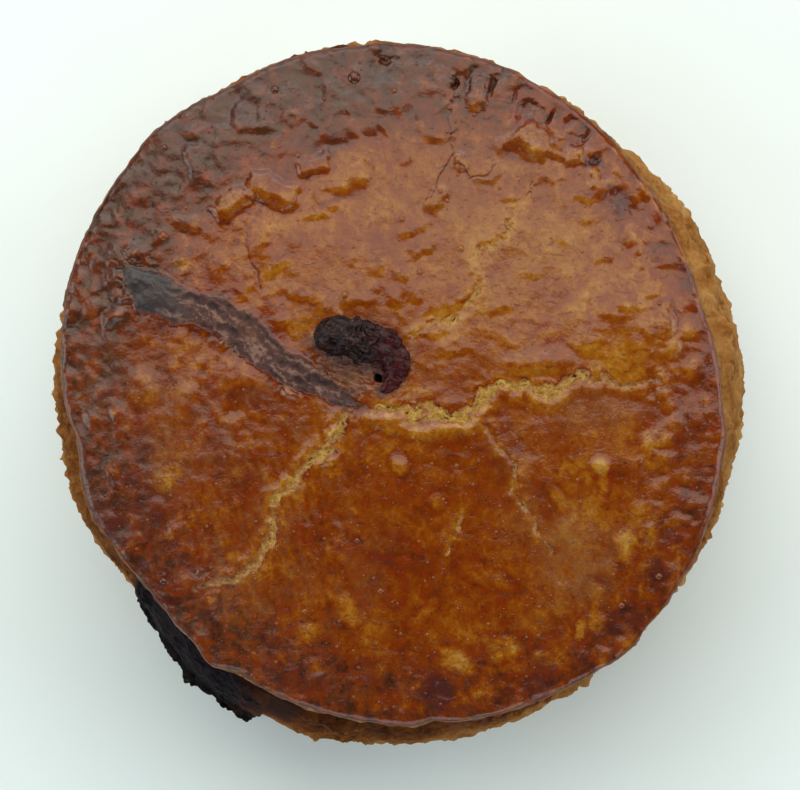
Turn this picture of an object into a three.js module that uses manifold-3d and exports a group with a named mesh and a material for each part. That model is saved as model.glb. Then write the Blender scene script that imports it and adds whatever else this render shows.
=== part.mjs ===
// A baked pork pie: a bulging hot-water-crust case, a glazed and crimped lid with
// cracks, a charred lump of filling burst through the vent, a dried trail of gravy
// and a crust of burnt gravy that boiled over at the seam.
// Millimetres, +Z up. The flat base lies on z = 0 and the lid's axis is x = y = 0.

import * as THREE from "three";
import { mergeVertices } from "three/addons/utils/BufferGeometryUtils.js";
import Module from "manifold-3d";

const wasm = await Module();
wasm.setup();

const DEG = Math.PI / 180;

// ---- Driving sizes -------------------------------------------------------

const gap = 0.3;                 // clearance between two separate pieces

const caseMeanRadius = 53.5;     // at the widest height of the wall
const caseWidestZ = 28;
const caseBaseRadius = 48.5;     // flat ring the pie stands on
const caseShoulderRadius = 48.8; // just under the lid's edge
const seamZ = 41.5;              // top of the case
const caseSegments = 120;
const cragHeight = 0.35;         // rough crust on the wall

const lidRadius = 50;
const lidUnderZ = seamZ + gap;
const lidEdgeZ = 46.2;           // top of the cut edge
const lidCrownRise = 2.6;        // crown above the cut edge
const lidSegments = 180;
const rimWidth = 9;              // width of the crimped rim
const fluteCount = 45;
const fluteDepth = 0.45;
const reliefHeight = 0.5;        // soft unevenness of the lid

const crackDepth = 1.1;
const cutterTopZ = 56;           // above everything on the lid

const trailHeight = 0.6;
const ventHoleRadius = 0.9;
const ventHoleDepth = 2.6;

// ---- Outlines ------------------------------------------------------------
// Lobes are evenly spaced swellings; bumps are single ones (negative = dents).
// Sizes in mm, places and spreads in degrees counter-clockwise from +X.

const lidLobes = [
  { count: 2, size: 1.93, at: -57.6 },
  { count: 3, size: 0.35, at: -51.6 },
  { count: 4, size: 0.33, at: -25.3 },
];

const lidBumps = [
  { size: -0.5, at: 15, spread: 6 },
  { size: -0.45, at: 118, spread: 5 },
  { size: 0.6, at: 133, spread: 5 },
  { size: -0.9, at: 190, spread: 3.5 },
  { size: 0.65, at: 203, spread: 5 },
  { size: -0.6, at: 221, spread: 5 },
  { size: 1.1, at: 237, spread: 3 },
  { size: -0.65, at: 243, spread: 3 },
  { size: -0.7, at: 277, spread: 2 },
  { size: -0.4, at: 295, spread: 3 },
  { size: 0.45, at: 310, spread: 6 },
  { size: 0.45, at: 352, spread: 3 },
];

const caseLobes = [
  { count: 1, size: 0.49, at: -111.7 },
  { count: 2, size: 1.13, at: -63.2 },
  { count: 3, size: 0.67, at: 12.8 },
  { count: 4, size: 0.44, at: -3.3 },
];

const caseBumps = [
  { size: 0.5, at: 31, spread: 7 },
  { size: -0.8, at: 49, spread: 7 },
  { size: 0.6, at: 133, spread: 5 },
  { size: 0.65, at: 197, spread: 7 },
  { size: -0.8, at: 218, spread: 8 },
  { size: 0.45, at: 242, spread: 6 },
  { size: 0.5, at: 312, spread: 5 },
];

// ---- Features on the lid ---------------------------------------------------
// Places are [x, y] in mm. A crack's width is its greatest; it tapers to its ends.

const cracks = [
  {
    width: 1.5,
    path: [[-6.9, -4.3], [-9.1, -9], [-13, -12.4], [-15.9, -15.8], [-17.4, -21.4],
      [-19.6, -25.6], [-25.7, -29.5], [-29.6, -30.5]],
  },
  {
    width: 1.5,
    path: [[-2.5, -3.9], [3.1, -4.8], [9.5, -5.1], [12.9, -2.9], [17.2, 0], [21.7, -1.2],
      [24.7, -0.9], [27.8, 1.3], [33.4, -0.2], [40.3, 0.6]],
  },
  {
    width: 0.9,
    path: [[12.9, -5.8], [14.9, -8.5], [18.3, -11.9], [17.5, -16.1], [21, -20.7],
      [21.7, -22.2], [23.9, -27.5]],
  },
  {
    width: 1.1,
    path: [[5.8, 8.6], [11.1, 11.6], [12.9, 16.9], [13.4, 19.9], [17.1, 21.5],
      [17.5, 23.8], [19.8, 27.5], [21, 29.9]],
  },
  { width: 0.9, path: [[9.9, -21], [8.5, -24.9], [7, -26.8]] },
];

const trail = [
  { x: -36.4, y: 14, half: 3.2 },
  { x: -31.5, y: 11.6, half: 2.9 },
  { x: -23.8, y: 9.4, half: 2.7 },
  { x: -19.3, y: 5, half: 2.7 },
  { x: -13.7, y: 1.2, half: 2.5 },
  { x: -8.6, y: -1.2, half: 2.1 },
];

// Marks of a fork's tines near the lid's edge: angle in degrees, radius of the middle.
const forkMarks = [
  { at: 61, radius: 46.4 },
  { at: 66, radius: 46.2 },
  { at: 72, radius: 47.2 },
  { at: 79.5, radius: 46.4 },
  { at: 91.5, radius: 49 },
];
const forkMarkRadius = 0.55;
const forkMarkLength = 3;

// Lumps under the glaze: place, half length, half width, height, turn in degrees.
const blisters = [
  { x: -5.8, y: 45.8, long: 1.5, wide: 1.2, high: 0.9, turn: 0 },
  { x: -24, y: 27, long: 2.9, wide: 1.4, high: 0.8, turn: 30 },
  { x: 20.8, y: 36.5, long: 2.6, wide: 2.1, high: 0.9, turn: -35 },
  { x: 9.2, y: 33.8, long: 1.6, wide: 1.2, high: 0.6, turn: 40 },
  { x: 31, y: -12, long: 1.5, wide: 1.7, high: 0.7, turn: 0 },
  { x: 9.5, y: -41.8, long: 3, wide: 1.9, high: 0.9, turn: 15 },
  { x: 17, y: -40, long: 2.4, wide: 1.6, high: 0.8, turn: 25 },
  { x: 23.6, y: -40.6, long: 2.1, wide: 1.5, high: 0.8, turn: 40 },
  { x: -13.6, y: -36.8, long: 2.2, wide: 1.7, high: 0.8, turn: 0 },
  { x: -34.4, y: -14.8, long: 2, wide: 1.7, high: 0.7, turn: 60 },
  { x: -28.5, y: 36.2, long: 2.4, wide: 1.5, high: 0.9, turn: 50 },
];

// ---- Features beside the vent and under the lid's edge -----------------------

const ventLump = { x: -4.9, y: 6.2, long: 6.7, wide: 3.8, high: 3.6, turn: -12 };
const ventCollar = { x: 0.1, y: 2.7, long: 3.4, wide: 1.5, high: 1.5, turn: -62 };
const ventHole = { x: -2.1, y: 0.9 };

// Burnt gravy on the wall. It is a sheet with a ragged lower edge, given square on as
// [distance counter-clockwise, height], and lumps: angle, height, how far they stand out
// of the wall, and half sizes.
const burntAt = 235;
const burntThickness = 1.2;
const burntTopZ = seamZ - 0.5;
const burntLowerEdge = [
  [16.5, 33], [13.5, 24], [11, 26], [9, 15], [6.5, 17], [4, 6], [1.5, 9], [-1.5, 2], [-4.5, 4],
  [-6, 14], [-8, 11], [-10, 23], [-12.5, 21], [-16, 33],
];
const burntLumps = [
  { at: 219.5, z: 36, stand: 1.3, wide: 2.6, thick: 2.3, tall: 3.5 },
  { at: 229, z: 33, stand: 2, wide: 3.4, thick: 2.8, tall: 5 },
  { at: 234.5, z: 24, stand: 2.7, wide: 2.8, thick: 3, tall: 6 },
  { at: 239, z: 33, stand: 2.1, wide: 4, thick: 3, tall: 5.5 },
  { at: 246.5, z: 26, stand: 2.6, wide: 3, thick: 3, tall: 5.5 },
  { at: 234, z: 8, stand: 2.4, wide: 3.5, thick: 3, tall: 5.5 },
];
const burntRoughness = 0.14;     // share of a lump's size

// ---- Noise -----------------------------------------------------------------

/** A repeatable number from -1 to 1 for three whole numbers. */
function scatter(i, j, seed) {
  const wave = Math.sin(i * 127.1 + j * 311.7 + seed * 74.7) * 43758.5453;
  return 2 * (wave - Math.floor(wave)) - 1;
}

/** Smooth noise from -1 to 1 over a plane, one swelling per unit. */
function noise(x, y, seed) {
  const i = Math.floor(x);
  const j = Math.floor(y);
  const u = THREE.MathUtils.smoothstep(x - i, 0, 1);
  const v = THREE.MathUtils.smoothstep(y - j, 0, 1);
  const near = THREE.MathUtils.lerp(scatter(i, j, seed), scatter(i + 1, j, seed), u);
  const far = THREE.MathUtils.lerp(scatter(i, j + 1, seed), scatter(i + 1, j + 1, seed), u);
  return THREE.MathUtils.lerp(near, far, v);
}

// ---- Outline and surface functions -------------------------------------------

/** The angle between -180 and 180 degrees, in radians. */
function turned(angle) {
  return Math.atan2(Math.sin(angle), Math.cos(angle));
}

/** How far lobes and bumps move an outline at an angle. */
function swelling(angle, lobes, bumps) {
  let out = 0;
  for (const lobe of lobes) {
    out += lobe.size * Math.cos(lobe.count * (angle - lobe.at * DEG));
  }
  for (const bump of bumps) {
    const off = turned(angle - bump.at * DEG) / (bump.spread * DEG);
    out += bump.size * Math.exp(-off * off);
  }
  return out;
}

/** Height of the lid's smooth top at a share (0 to 1) of its radius. */
function domeZ(share) {
  return lidEdgeZ + lidCrownRise * (1 - share ** 2.4);
}

/** Height of the lid's unevenness: flutes in the rim and soft swellings. */
function lidRelief(x, y, share) {
  const angle = Math.atan2(y, x);
  const inRim = THREE.MathUtils.smoothstep(share * lidRadius, lidRadius - rimWidth, lidRadius - 3);
  const flutes = fluteDepth * inRim * Math.cos(fluteCount * angle + 2 * noise(3 * angle, 0.5, 5));
  const soft = noise(x / 9, y / 9, 1) + 0.5 * noise(x / 4.5, y / 4.5, 2);
  return flutes + reliefHeight * soft;
}

/** How far the wall stands out at a height, for the case's mean outline. */
function wallRadius(z) {
  if (z > caseWidestZ) {
    const up = (z - caseWidestZ) / (seamZ - caseWidestZ);
    return caseMeanRadius - (caseMeanRadius - caseShoulderRadius) * up ** 2.2;
  }
  const down = (caseWidestZ - z) / caseWidestZ;
  return caseMeanRadius - (caseMeanRadius - caseBaseRadius) * down ** 2.6;
}

// ---- Solids ------------------------------------------------------------------

/** Turns a closed three.js geometry into a solid that can be joined and cut. */
function solid(geometry) {
  const plain = geometry.clone();
  plain.deleteAttribute("normal");
  plain.deleteAttribute("uv");
  const welded = mergeVertices(plain, 1e-4);
  const corners = welded.index.array;
  const kept = [];
  for (let i = 0; i < corners.length; i += 3) {
    const [a, b, c] = corners.slice(i, i + 3);
    if (a !== b && b !== c && c !== a) kept.push(a, b, c);
  }
  return new wasm.Manifold(new wasm.Mesh({
    numProp: 3,
    vertProperties: new Float32Array(welded.attributes.position.array),
    triVerts: new Uint32Array(kept),
  }));
}

/** Turns a solid back into a three.js geometry. */
function geometryOf(shape) {
  const mesh = shape.getMesh();
  const geometry = new THREE.BufferGeometry();
  geometry.setAttribute("position", new THREE.BufferAttribute(mesh.vertProperties, 3));
  geometry.setIndex(new THREE.BufferAttribute(mesh.triVerts, 1));
  geometry.computeVertexNormals();
  return geometry;
}

/** Moves every corner of a geometry by a function of its place. */
function reshape(geometry, move) {
  const places = geometry.attributes.position;
  const place = new THREE.Vector3();
  for (let i = 0; i < places.count; i += 1) {
    place.fromBufferAttribute(places, i);
    move(place);
    places.setXYZ(i, place.x, place.y, place.z);
  }
  return geometry;
}

/** Turns a profile of [radius, z] round the Z axis. */
function turnedSolid(profile, segments) {
  const points = profile.map(([radius, z]) => new THREE.Vector2(radius, z));
  return new THREE.LatheGeometry(points, segments).rotateX(Math.PI / 2);
}

/** The lid's profile, from the middle of its underside round to its crown. */
function lidProfile() {
  const shares = [0.96, 0.9, 0.82, 0.66, 0.46, 0.24];
  return [
    [0, lidUnderZ],
    [lidRadius - 0.6, lidUnderZ],
    [lidRadius, lidEdgeZ],
    ...shares.map((share) => [share * lidRadius, domeZ(share)]),
    [0, domeZ(0)],
  ];
}

/** The plain lid: an oval, dented, fluted and softly uneven disc. */
function lidDisc() {
  const disc = turnedSolid(lidProfile(), lidSegments);
  return solid(reshape(disc, (place) => {
    const angle = Math.atan2(place.y, place.x);
    const share = Math.hypot(place.x, place.y) / lidRadius;
    const stretch = 1 + swelling(angle, lidLobes, lidBumps) / lidRadius;
    const onTop = place.z > (lidUnderZ + lidEdgeZ) / 2;
    if (onTop) place.z += lidRelief(place.x, place.y, share);
    place.x *= stretch;
    place.y *= stretch;
  }));
}

/** A flat shape standing from z = 0 to above the lid. */
function upright(points) {
  const outline = new THREE.Shape(points);
  return solid(new THREE.ExtrudeGeometry(outline, { depth: cutterTopZ, bevelEnabled: false }));
}

/** The two sides of a path, each at half the width given for a share of its length. */
function sides(path, halfWidth) {
  const left = [];
  const right = [];
  path.forEach((point, i) => {
    const before = path[Math.max(i - 1, 0)];
    const after = path[Math.min(i + 1, path.length - 1)];
    const along = new THREE.Vector2().subVectors(after, before).normalize();
    const across = new THREE.Vector2(-along.y, along.x).multiplyScalar(halfWidth(i));
    left.push(point.clone().add(across));
    right.push(point.clone().sub(across));
  });
  return [...right, ...left.reverse()];
}

/** A crack's cutter: a jagged slot down to a floor. */
function crackCutter({ width, path }, floor) {
  const points = path.map(([x, y]) => new THREE.Vector2(x, y));
  const last = points.length - 1;
  const outline = sides(points, (i) => {
    const taper = Math.sin(Math.PI * THREE.MathUtils.clamp(i / last, 0.06, 0.94));
    return (width / 2) * Math.sqrt(taper) * (1 + 0.25 * scatter(i, width * 10, 3));
  });
  return upright(outline).subtract(floor);
}

/** The outline of the dried gravy, seen from above. */
function trailOutline() {
  const centre = new THREE.CatmullRomCurve3(trail.map(({ x, y }) => new THREE.Vector3(x, y, 0)));
  const steps = 15;
  const path = [];
  for (let i = 0; i <= steps; i += 1) {
    const { x, y } = centre.getPoint(i / steps);
    path.push(new THREE.Vector2(x, y));
  }
  return sides(path, (i) => {
    const place = (i / steps) * (trail.length - 1);
    const from = Math.min(Math.floor(place), trail.length - 2);
    const half = THREE.MathUtils.lerp(trail[from].half, trail[from + 1].half, place - from);
    const blunt = THREE.MathUtils.smoothstep(i, -1.5, 1.5);
    return half * blunt * (1 + 0.12 * scatter(i, 4, 6));
  });
}

/** A flattened ball lying on the dome, turned about the vertical. */
function pad({ x, y, long, wide, high, turn }, detail) {
  const share = Math.min(Math.hypot(x, y) / lidRadius, 1);
  return new THREE.IcosahedronGeometry(1, detail)
    .scale(long, wide, high)
    .rotateZ(turn * DEG)
    .translate(x, y, domeZ(share));
}

/** One fork mark: a round-bottomed slot that points at the axis. */
function forkSlot({ at, radius }) {
  const capsule = new THREE.CapsuleGeometry(forkMarkRadius, forkMarkLength, 2, 6)
    .rotateZ(Math.PI / 2)
    .translate(radius, 0, domeZ(radius / lidRadius) + forkMarkRadius / 3)
    .rotateZ(at * DEG);
  return solid(capsule);
}

/** The small round hole that is left of the vent. */
function ventDrill() {
  const share = Math.hypot(ventHole.x, ventHole.y) / lidRadius;
  const length = cutterTopZ - domeZ(share) + ventHoleDepth;
  return solid(new THREE.CylinderGeometry(ventHoleRadius * 1.25, ventHoleRadius, length, 12)
    .rotateX(Math.PI / 2)
    .translate(ventHole.x, ventHole.y, cutterTopZ - length / 2));
}

/** The lid before it cracked: disc, blisters and dried gravy in one. */
function makeWholeLid() {
  const disc = lidDisc();
  const gravy = upright(trailOutline()).intersect(disc.translate([0, 0, trailHeight]));
  return blisters.reduce((lid, blister) => lid.add(solid(pad(blister, 1))), disc.add(gravy));
}

/** The lid with its cracks, fork marks and vent hole cut. */
function makeLid(whole) {
  const floor = lidDisc().translate([0, 0, -crackDepth]);
  const cutters = [
    ...cracks.map((crack) => crackCutter(crack, floor)),
    ...forkMarks.map(forkSlot),
    ventDrill(),
  ];
  return whole.subtract(wasm.Manifold.union(cutters));
}

/** The case: a solid bow-sided body with a flat base and a rough wall. */
function makeCase(clearance) {
  const corner = [[2.2, 0.5], [0.9, 1.6], [0.2, 3.6]];
  const wallHeights = [8, 14, 20, 26, 31.5, 36, 39.5];
  const profile = [
    [0, 0],
    [caseBaseRadius - 4.5, 0],
    ...corner.map(([inset, z]) => [wallRadius(z) - inset, z]),
    ...wallHeights.map((z) => [wallRadius(z), z]),
    [caseShoulderRadius, seamZ],
    [0, seamZ],
  ];
  const body = turnedSolid(profile, caseSegments);
  return solid(reshape(body, (place) => {
    const radius = Math.hypot(place.x, place.y);
    if (radius < 1) return;
    const angle = Math.atan2(place.y, place.x);
    const onWall = place.z > 1 && place.z < seamZ - 1;
    const crags = noise(angle * 40, place.z / 2.1, 8) + 0.6 * noise(angle * 16, place.z / 5, 9);
    const rough = onWall ? cragHeight * crags : 0;
    const shape = swelling(angle, caseLobes, caseBumps);
    const moved = (radius + clearance + shape + rough) / radius;
    place.x *= moved;
    place.y *= moved;
  }));
}

/** The charred lump beside the vent, resting just clear of the lid. */
function makeVentLump(wholeLid) {
  const crag = (place) => {
    const { x, y, z } = place;
    place.z += 0.4 * (noise(x / 1.6, y / 1.6, 11) + noise(x / 3.2, z / 1.5, 12));
    place.x += 0.3 * noise(y / 1.9, z / 1.4, 13);
  };
  const lump = solid(reshape(pad(ventLump, 3), crag));
  const collar = solid(reshape(pad(ventCollar, 2), crag));
  return lump.add(collar).subtract(wholeLid.translate([0, 0, gap])).subtract(ventDrill());
}

/** The sheet of burnt gravy: a ragged part of a skin on the wall. */
function burntSheet() {
  const edge = burntLowerEdge.map(([x, z]) => new THREE.Vector2(x, z));
  const ends = [edge.at(-1).x, edge[0].x].map((x) => new THREE.Vector2(x, burntTopZ));
  const outline = new THREE.Shape([...edge, ...ends]);
  const through = new THREE.ExtrudeGeometry(outline, { depth: lidRadius, bevelEnabled: false })
    .translate(0, 0, lidRadius / 2)
    .rotateX(Math.PI / 2)
    .rotateZ((burntAt - 270) * DEG);
  return makeCase(gap + burntThickness).intersect(solid(through));
}

/** A rough lump of burnt gravy on the wall. */
function burntLump({ at, z, stand, wide, thick, tall }, seed) {
  const wall = wallRadius(z) + swelling(at * DEG, caseLobes, caseBumps);
  const ball = reshape(new THREE.IcosahedronGeometry(1, 2), (place) => {
    const crag = noise(2.3 * place.x + place.z, 2.3 * place.y + 2 * place.z, seed);
    place.multiplyScalar(1 + burntRoughness * crag);
  });
  return solid(ball
    .scale(thick, wide, tall)
    .translate(wall + stand - thick, 0, z)
    .rotateZ(at * DEG));
}

/** Burnt gravy that clings to the wall from the seam down to the base. */
function makeBurntGravy() {
  const mass = wasm.Manifold.union([burntSheet(), ...burntLumps.map(burntLump)]);
  return mass.subtract(makeCase(gap));
}

// ---- Assembly ------------------------------------------------------------------

/** A named mesh with its own surface. */
function piece(name, shape, color, roughness) {
  const surface = new THREE.MeshStandardMaterial({ color, roughness, metalness: 0 });
  const mesh = new THREE.Mesh(geometryOf(shape), surface);
  mesh.name = name;
  return mesh;
}

const wholeLid = makeWholeLid();
const pie = new THREE.Group();
pie.name = "pork_pie";
pie.add(piece("pastry_case", makeCase(0), 0x9a6130, 0.85));
pie.add(piece("pastry_lid", makeLid(wholeLid), 0x9c4d1c, 0.3));
pie.add(piece("vent_filling", makeVentLump(wholeLid), 0x2a1c1e, 0.6));
pie.add(piece("burnt_gravy", makeBurntGravy(), 0x17130f, 0.7));

export default pie;
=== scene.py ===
import math
from types import SimpleNamespace

import bpy
import numpy as np
from mathutils import Matrix, Vector


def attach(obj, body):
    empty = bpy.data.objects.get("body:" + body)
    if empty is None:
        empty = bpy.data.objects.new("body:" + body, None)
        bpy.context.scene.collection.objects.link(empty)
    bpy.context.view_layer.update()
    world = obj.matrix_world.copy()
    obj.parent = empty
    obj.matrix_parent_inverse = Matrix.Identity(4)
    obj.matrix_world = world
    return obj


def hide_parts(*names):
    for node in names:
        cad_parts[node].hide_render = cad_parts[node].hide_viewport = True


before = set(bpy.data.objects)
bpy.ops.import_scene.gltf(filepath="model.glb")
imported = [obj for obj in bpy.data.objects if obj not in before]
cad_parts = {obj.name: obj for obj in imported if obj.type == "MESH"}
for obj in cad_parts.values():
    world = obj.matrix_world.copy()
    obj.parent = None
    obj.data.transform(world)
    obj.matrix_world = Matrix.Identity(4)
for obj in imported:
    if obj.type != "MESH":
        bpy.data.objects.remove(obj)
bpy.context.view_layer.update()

bl_info = {
    "name": "Pork Pie",
    "version": (1, 0, 0),
    "blender": (4, 5, 0),
    "location": "View3D > Sidebar > Pork Pie",
    "description": "Builds a baked pork pie with a glazed, cracked lid on its solid frame",
    "category": "Add Mesh",
}

# Sizes are in millimetres and angles in degrees counter-clockwise from +X, unless a
# name says otherwise. The base lies on z = 0 and the lid's axis is x = y = 0.
MM = 0.001

LID_RADIUS = 50.0
LID_UNDER_Z = 41.8
LID_EDGE_Z = 46.2
LID_CROWN_RISE = 2.6
SEAM_Z = 41.5
CASE_RADIUS = 53.5
CASE_WIDEST_Z = 28.0
CASE_BASE_RADIUS = 48.5
CASE_SHOULDER_RADIUS = 48.8
FOOT_RADIUS = 44.0
FOOT_HEIGHT = 3.6
WALL_ARC = 53.0                 # radius at which distances round the wall are measured

# The lid's rim: how many flutes, where they are deepest, and the middles of two parts.
RIM_FLUTES = 54
DEEP_FLUTES_AT = 50.0
UPPER_LEFT_AT = 122.0
RIGHT_AT = -12.0

# Swellings all round an outline: how many, how high, where the first one is.
LID_LOBES = ((2, 1.93, -57.6), (3, 0.35, -51.6), (4, 0.33, -25.3))
CASE_LOBES = ((1, 0.49, -111.7), (2, 1.13, -63.2), (3, 0.67, 12.8), (4, 0.44, -3.3))

# Single swellings and dents of an outline: height, place, spread.
LID_BUMPS = (
    (-0.5, 15, 6), (-0.45, 118, 5), (0.6, 133, 5), (-0.9, 190, 3.5), (0.65, 203, 5),
    (-0.6, 221, 5), (1.1, 237, 3), (-0.65, 243, 3), (-0.7, 277, 2), (-0.4, 295, 3),
    (0.45, 310, 6), (0.45, 352, 3),
)
CASE_BUMPS = (
    (0.5, 31, 7), (-0.8, 49, 7), (0.6, 133, 5), (0.65, 197, 7), (-0.8, 218, 8),
    (0.45, 242, 6), (0.5, 312, 5),
)

# The same for the wall alone, below the lid.
WALL_BUMPS = (
    (-1.05, 130, 22), (-0.3, 95, 14), (0.6, 254, 6), (-0.5, 15, 5), (-0.35, 346, 9),
    (0.5, 30, 42), (0.4, 200, 15), (0.3, 335, 10),
)

# Cracks: greatest width, depth, how open, height of the lip beside it on the left and
# on the right, then the way it runs. Each takes its kinks from the seed and its number.
CRACK_SEED = 40
CRACKS = (
    (1.75, 0.9, 0.64, 0.06, 0.22,
     ((-6.9, -4.3), (-9.1, -9.0), (-13.0, -12.4), (-15.9, -15.8), (-17.4, -21.4),
      (-19.6, -25.6), (-25.7, -29.5), (-29.6, -30.5))),
    (2.3, 0.9, 0.76, 0.04, 0.26,
     ((-2.5, -3.9), (3.1, -4.8), (9.5, -5.1), (12.9, -2.9), (17.2, 0.0),
      (21.7, -1.2), (24.7, -0.9), (27.8, 1.3), (33.4, -0.2), (40.3, 0.6))),
    (0.6, 0.7, 0.38, 0.05, 0.1,
     ((12.9, -5.8), (14.9, -8.5), (18.3, -11.9), (17.5, -16.1), (21.0, -20.7),
      (21.7, -22.2), (23.9, -27.5))),
    (1.3, 0.6, 0.42, 0.12, 0.05,
     ((3.0, 7.0), (5.8, 8.6), (11.1, 11.6), (12.9, 16.9), (13.4, 19.9), (17.1, 21.5),
      (17.5, 23.8), (19.8, 27.5), (21.0, 29.9))),
    (0.7, 0.5, 0.5, 0.05, 0.15, ((10.4, -19.6), (9.9, -21.0), (8.5, -24.9), (7.0, -26.8))),
)
# Hairlines: width, depth, then the way.
HAIRLINE_SEED = 80
HAIRLINE_ROUGH = 0.12
HAIRLINES = (
    (0.13, 0.09, ((9.5, 45.0), (8.8, 41.6), (8.8, 36.7), (9.2, 34.3), (7.3, 31.3), (5.8, 27.5))),
    (0.13, 0.08, ((-19.3, 26.7), (-21.6, 22.6), (-21.3, 18.9), (-19.5, 13.9))),
    (0.13, 0.08, ((9.6, 33.0), (11.5, 30.5), (14.0, 30.8), (15.4, 32.6))),
)

# Dried gravy on the lid: place and half width; and how far its strands run.
TRAIL_LENGTH = 46.0
TRAIL = (
    (-38.8, 16.6, 1.2), (-36.0, 13.8, 3.6), (-32.3, 12.0, 2.9), (-28.6, 11.3, 2.5),
    (-24.8, 9.5, 2.7), (-22.2, 7.9, 2.9), (-19.3, 5.0, 2.7), (-16.7, 2.9, 2.5),
    (-13.7, 1.5, 2.4), (-10.7, 0.0, 2.0), (-7.7, -1.8, 1.3), (-6.0, -3.2, 0.8),
)

# Leaning slabs on the lid: place, half length, half width, turn, height.
LOGS = (
    (-23.8, 26.9, 2.8, 1.6, 33, 0.8), (-17.9, 28.8, 3.6, 1.9, -22, 0.75),
    (-11.6, 32.7, 2.2, 1.3, 22, 0.6), (-29.2, 32.8, 1.2, 3.1, 16, 0.6),
    (-8.3, 30.0, 3.9, 1.9, 18, 0.3), (-38.4, 19.6, 1.3, 1.2, 30, 0.5),
    (-30.1, 23.9, 1.3, 1.0, 15, 0.45), (-34.5, 22.3, 1.3, 1.2, 10, 0.3),
    (21.0, 36.1, 2.7, 2.5, -34, 0.8), (24.2, 34.5, 1.0, 0.9, -30, 0.45),
    (27.0, 33.9, 1.5, 1.2, 5, 0.55), (10.2, 33.3, 1.2, 0.9, -10, 0.45),
    (16.3, 35.1, 1.2, 0.9, 20, 0.4), (6.4, 27.3, 1.0, 1.9, -14, 0.4),
    (31.4, 29.4, 2.1, 1.3, -28, 0.4), (12.8, 43.4, 1.5, 2.4, -8, 0.5),
    (-21.1, 38.9, 2.2, 1.3, 20, 0.4), (-41.8, 10.1, 1.2, 1.0, 30, 0.4),
    (-39.7, 12.8, 1.0, 0.7, 10, 0.3),
)

# Steps in the lid that drop to the near side: place, half length, width of the face,
# turn, height, how much browner.
SCARPS = (
    (-10.3, 25.3, 3.3, 0.67, 31, 0.34, 0.0), (-18.5, 21.4, 3.0, 0.67, 80, 0.3, 0.05),
    (-16.9, 17.4, 1.8, 1.04, 30, 0.3, 0.12), (-4.3, 30.6, 1.6, 0.59, 60, 0.25, 0),
    (-3.9, 32.8, 0.9, 0.74, 40, 0.2, 0), (3.6, 22.7, 3.3, 0.52, 25, 0.28, 0),
    (4.9, 19.9, 2.1, 0.67, 18, 0.3, 0.22), (-1.5, 17.8, 2.8, 0.52, 70, 0.28, 0.05),
    (0.1, 12.5, 1.5, 0.89, -30, 0.3, 0.18), (-8.6, 10.5, 1.5, 0.74, 25, 0.3, 0),
    (-15.8, 9.0, 1.8, 1.04, 35, 0.35, -0.05), (-24.7, 17.5, 2.2, 0.67, 65, 0.3, 0.05),
    (6.7, 43.5, 1.8, 0.82, -20, 0.35, 0.1), (6.2, 36.1, 1.5, 0.59, 10, 0.3, 0.25),
    (14.4, 30.3, 2.4, 0.52, 5, 0.26, 0.2), (23.2, 30.0, 2.2, 0.52, 12, 0.26, 0.05),
    (17.4, 27.3, 1.9, 0.67, 8, 0.3, 0.05), (29.3, 27.8, 2.1, 1.04, -10, 0.38, -0.02),
    (1.8, 16.0, 1.3, 0.59, 35, 0.25, 0.1), (32.1, 18.9, 1.8, 0.45, 40, 0.22, 0.1),
    (21.7, 15.7, 1.3, 0.59, 25, 0.22, 0.15), (38.6, 13.4, 2.1, 0.67, 8, 0.3, 0.05),
    (40.7, 17.5, 1.6, 0.74, 30, 0.32, 0.15), (36.7, 19.6, 1.2, 0.45, 15, 0.22, 0.2),
    (34.3, 11.6, 1.8, 0.59, 10, 0.24, 0.1), (15.9, 10.8, 1.6, 0.52, 15, 0.22, 0.15),
    (3.3, 12.9, 1.5, 0.67, -15, 0.28, 0.2), (33.9, 9.5, 1.5, 0.59, 12, 0.24, 0.1),
    (-7.0, 36.3, 3.9, 0.89, 8, 0.42, 0.1), (-13.7, 12.5, 2.4, 0.59, -20, 0.22, 0.15),
    (-22.6, 13.7, 2.1, 0.59, -25, 0.2, 0.15), (-4.0, 12.5, 1.3, 0.74, -35, 0.26, 0.25),
    (9.4, 4.7, 3.0, 0.74, 10, 0.28, 0.05), (29.4, 5.8, 2.4, 0.74, 8, 0.25, 0.05),
    (-27.8, 22.0, 1.8, 0.74, -40, 0.3, 0.2), (-31.5, 18.1, 2.1, 0.59, 15, 0.25, 0.2),
    (-26.8, 34.8, 1.8, 0.59, -60, 0.25, 0.2), (-15.2, 39.5, 1.5, 0.59, 20, 0.25, 0.2),
    (-1.1, 40.4, 2.1, 0.59, -5, 0.25, 0.15), (1.9, 33.3, 1.5, 0.52, 20, 0.2, 0.1),
    (25.0, 21.4, 1.3, 0.45, -15, 0.18, 0.1), (37.6, 23.6, 1.5, 0.74, -35, 0.3, 0.15),
)

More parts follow.
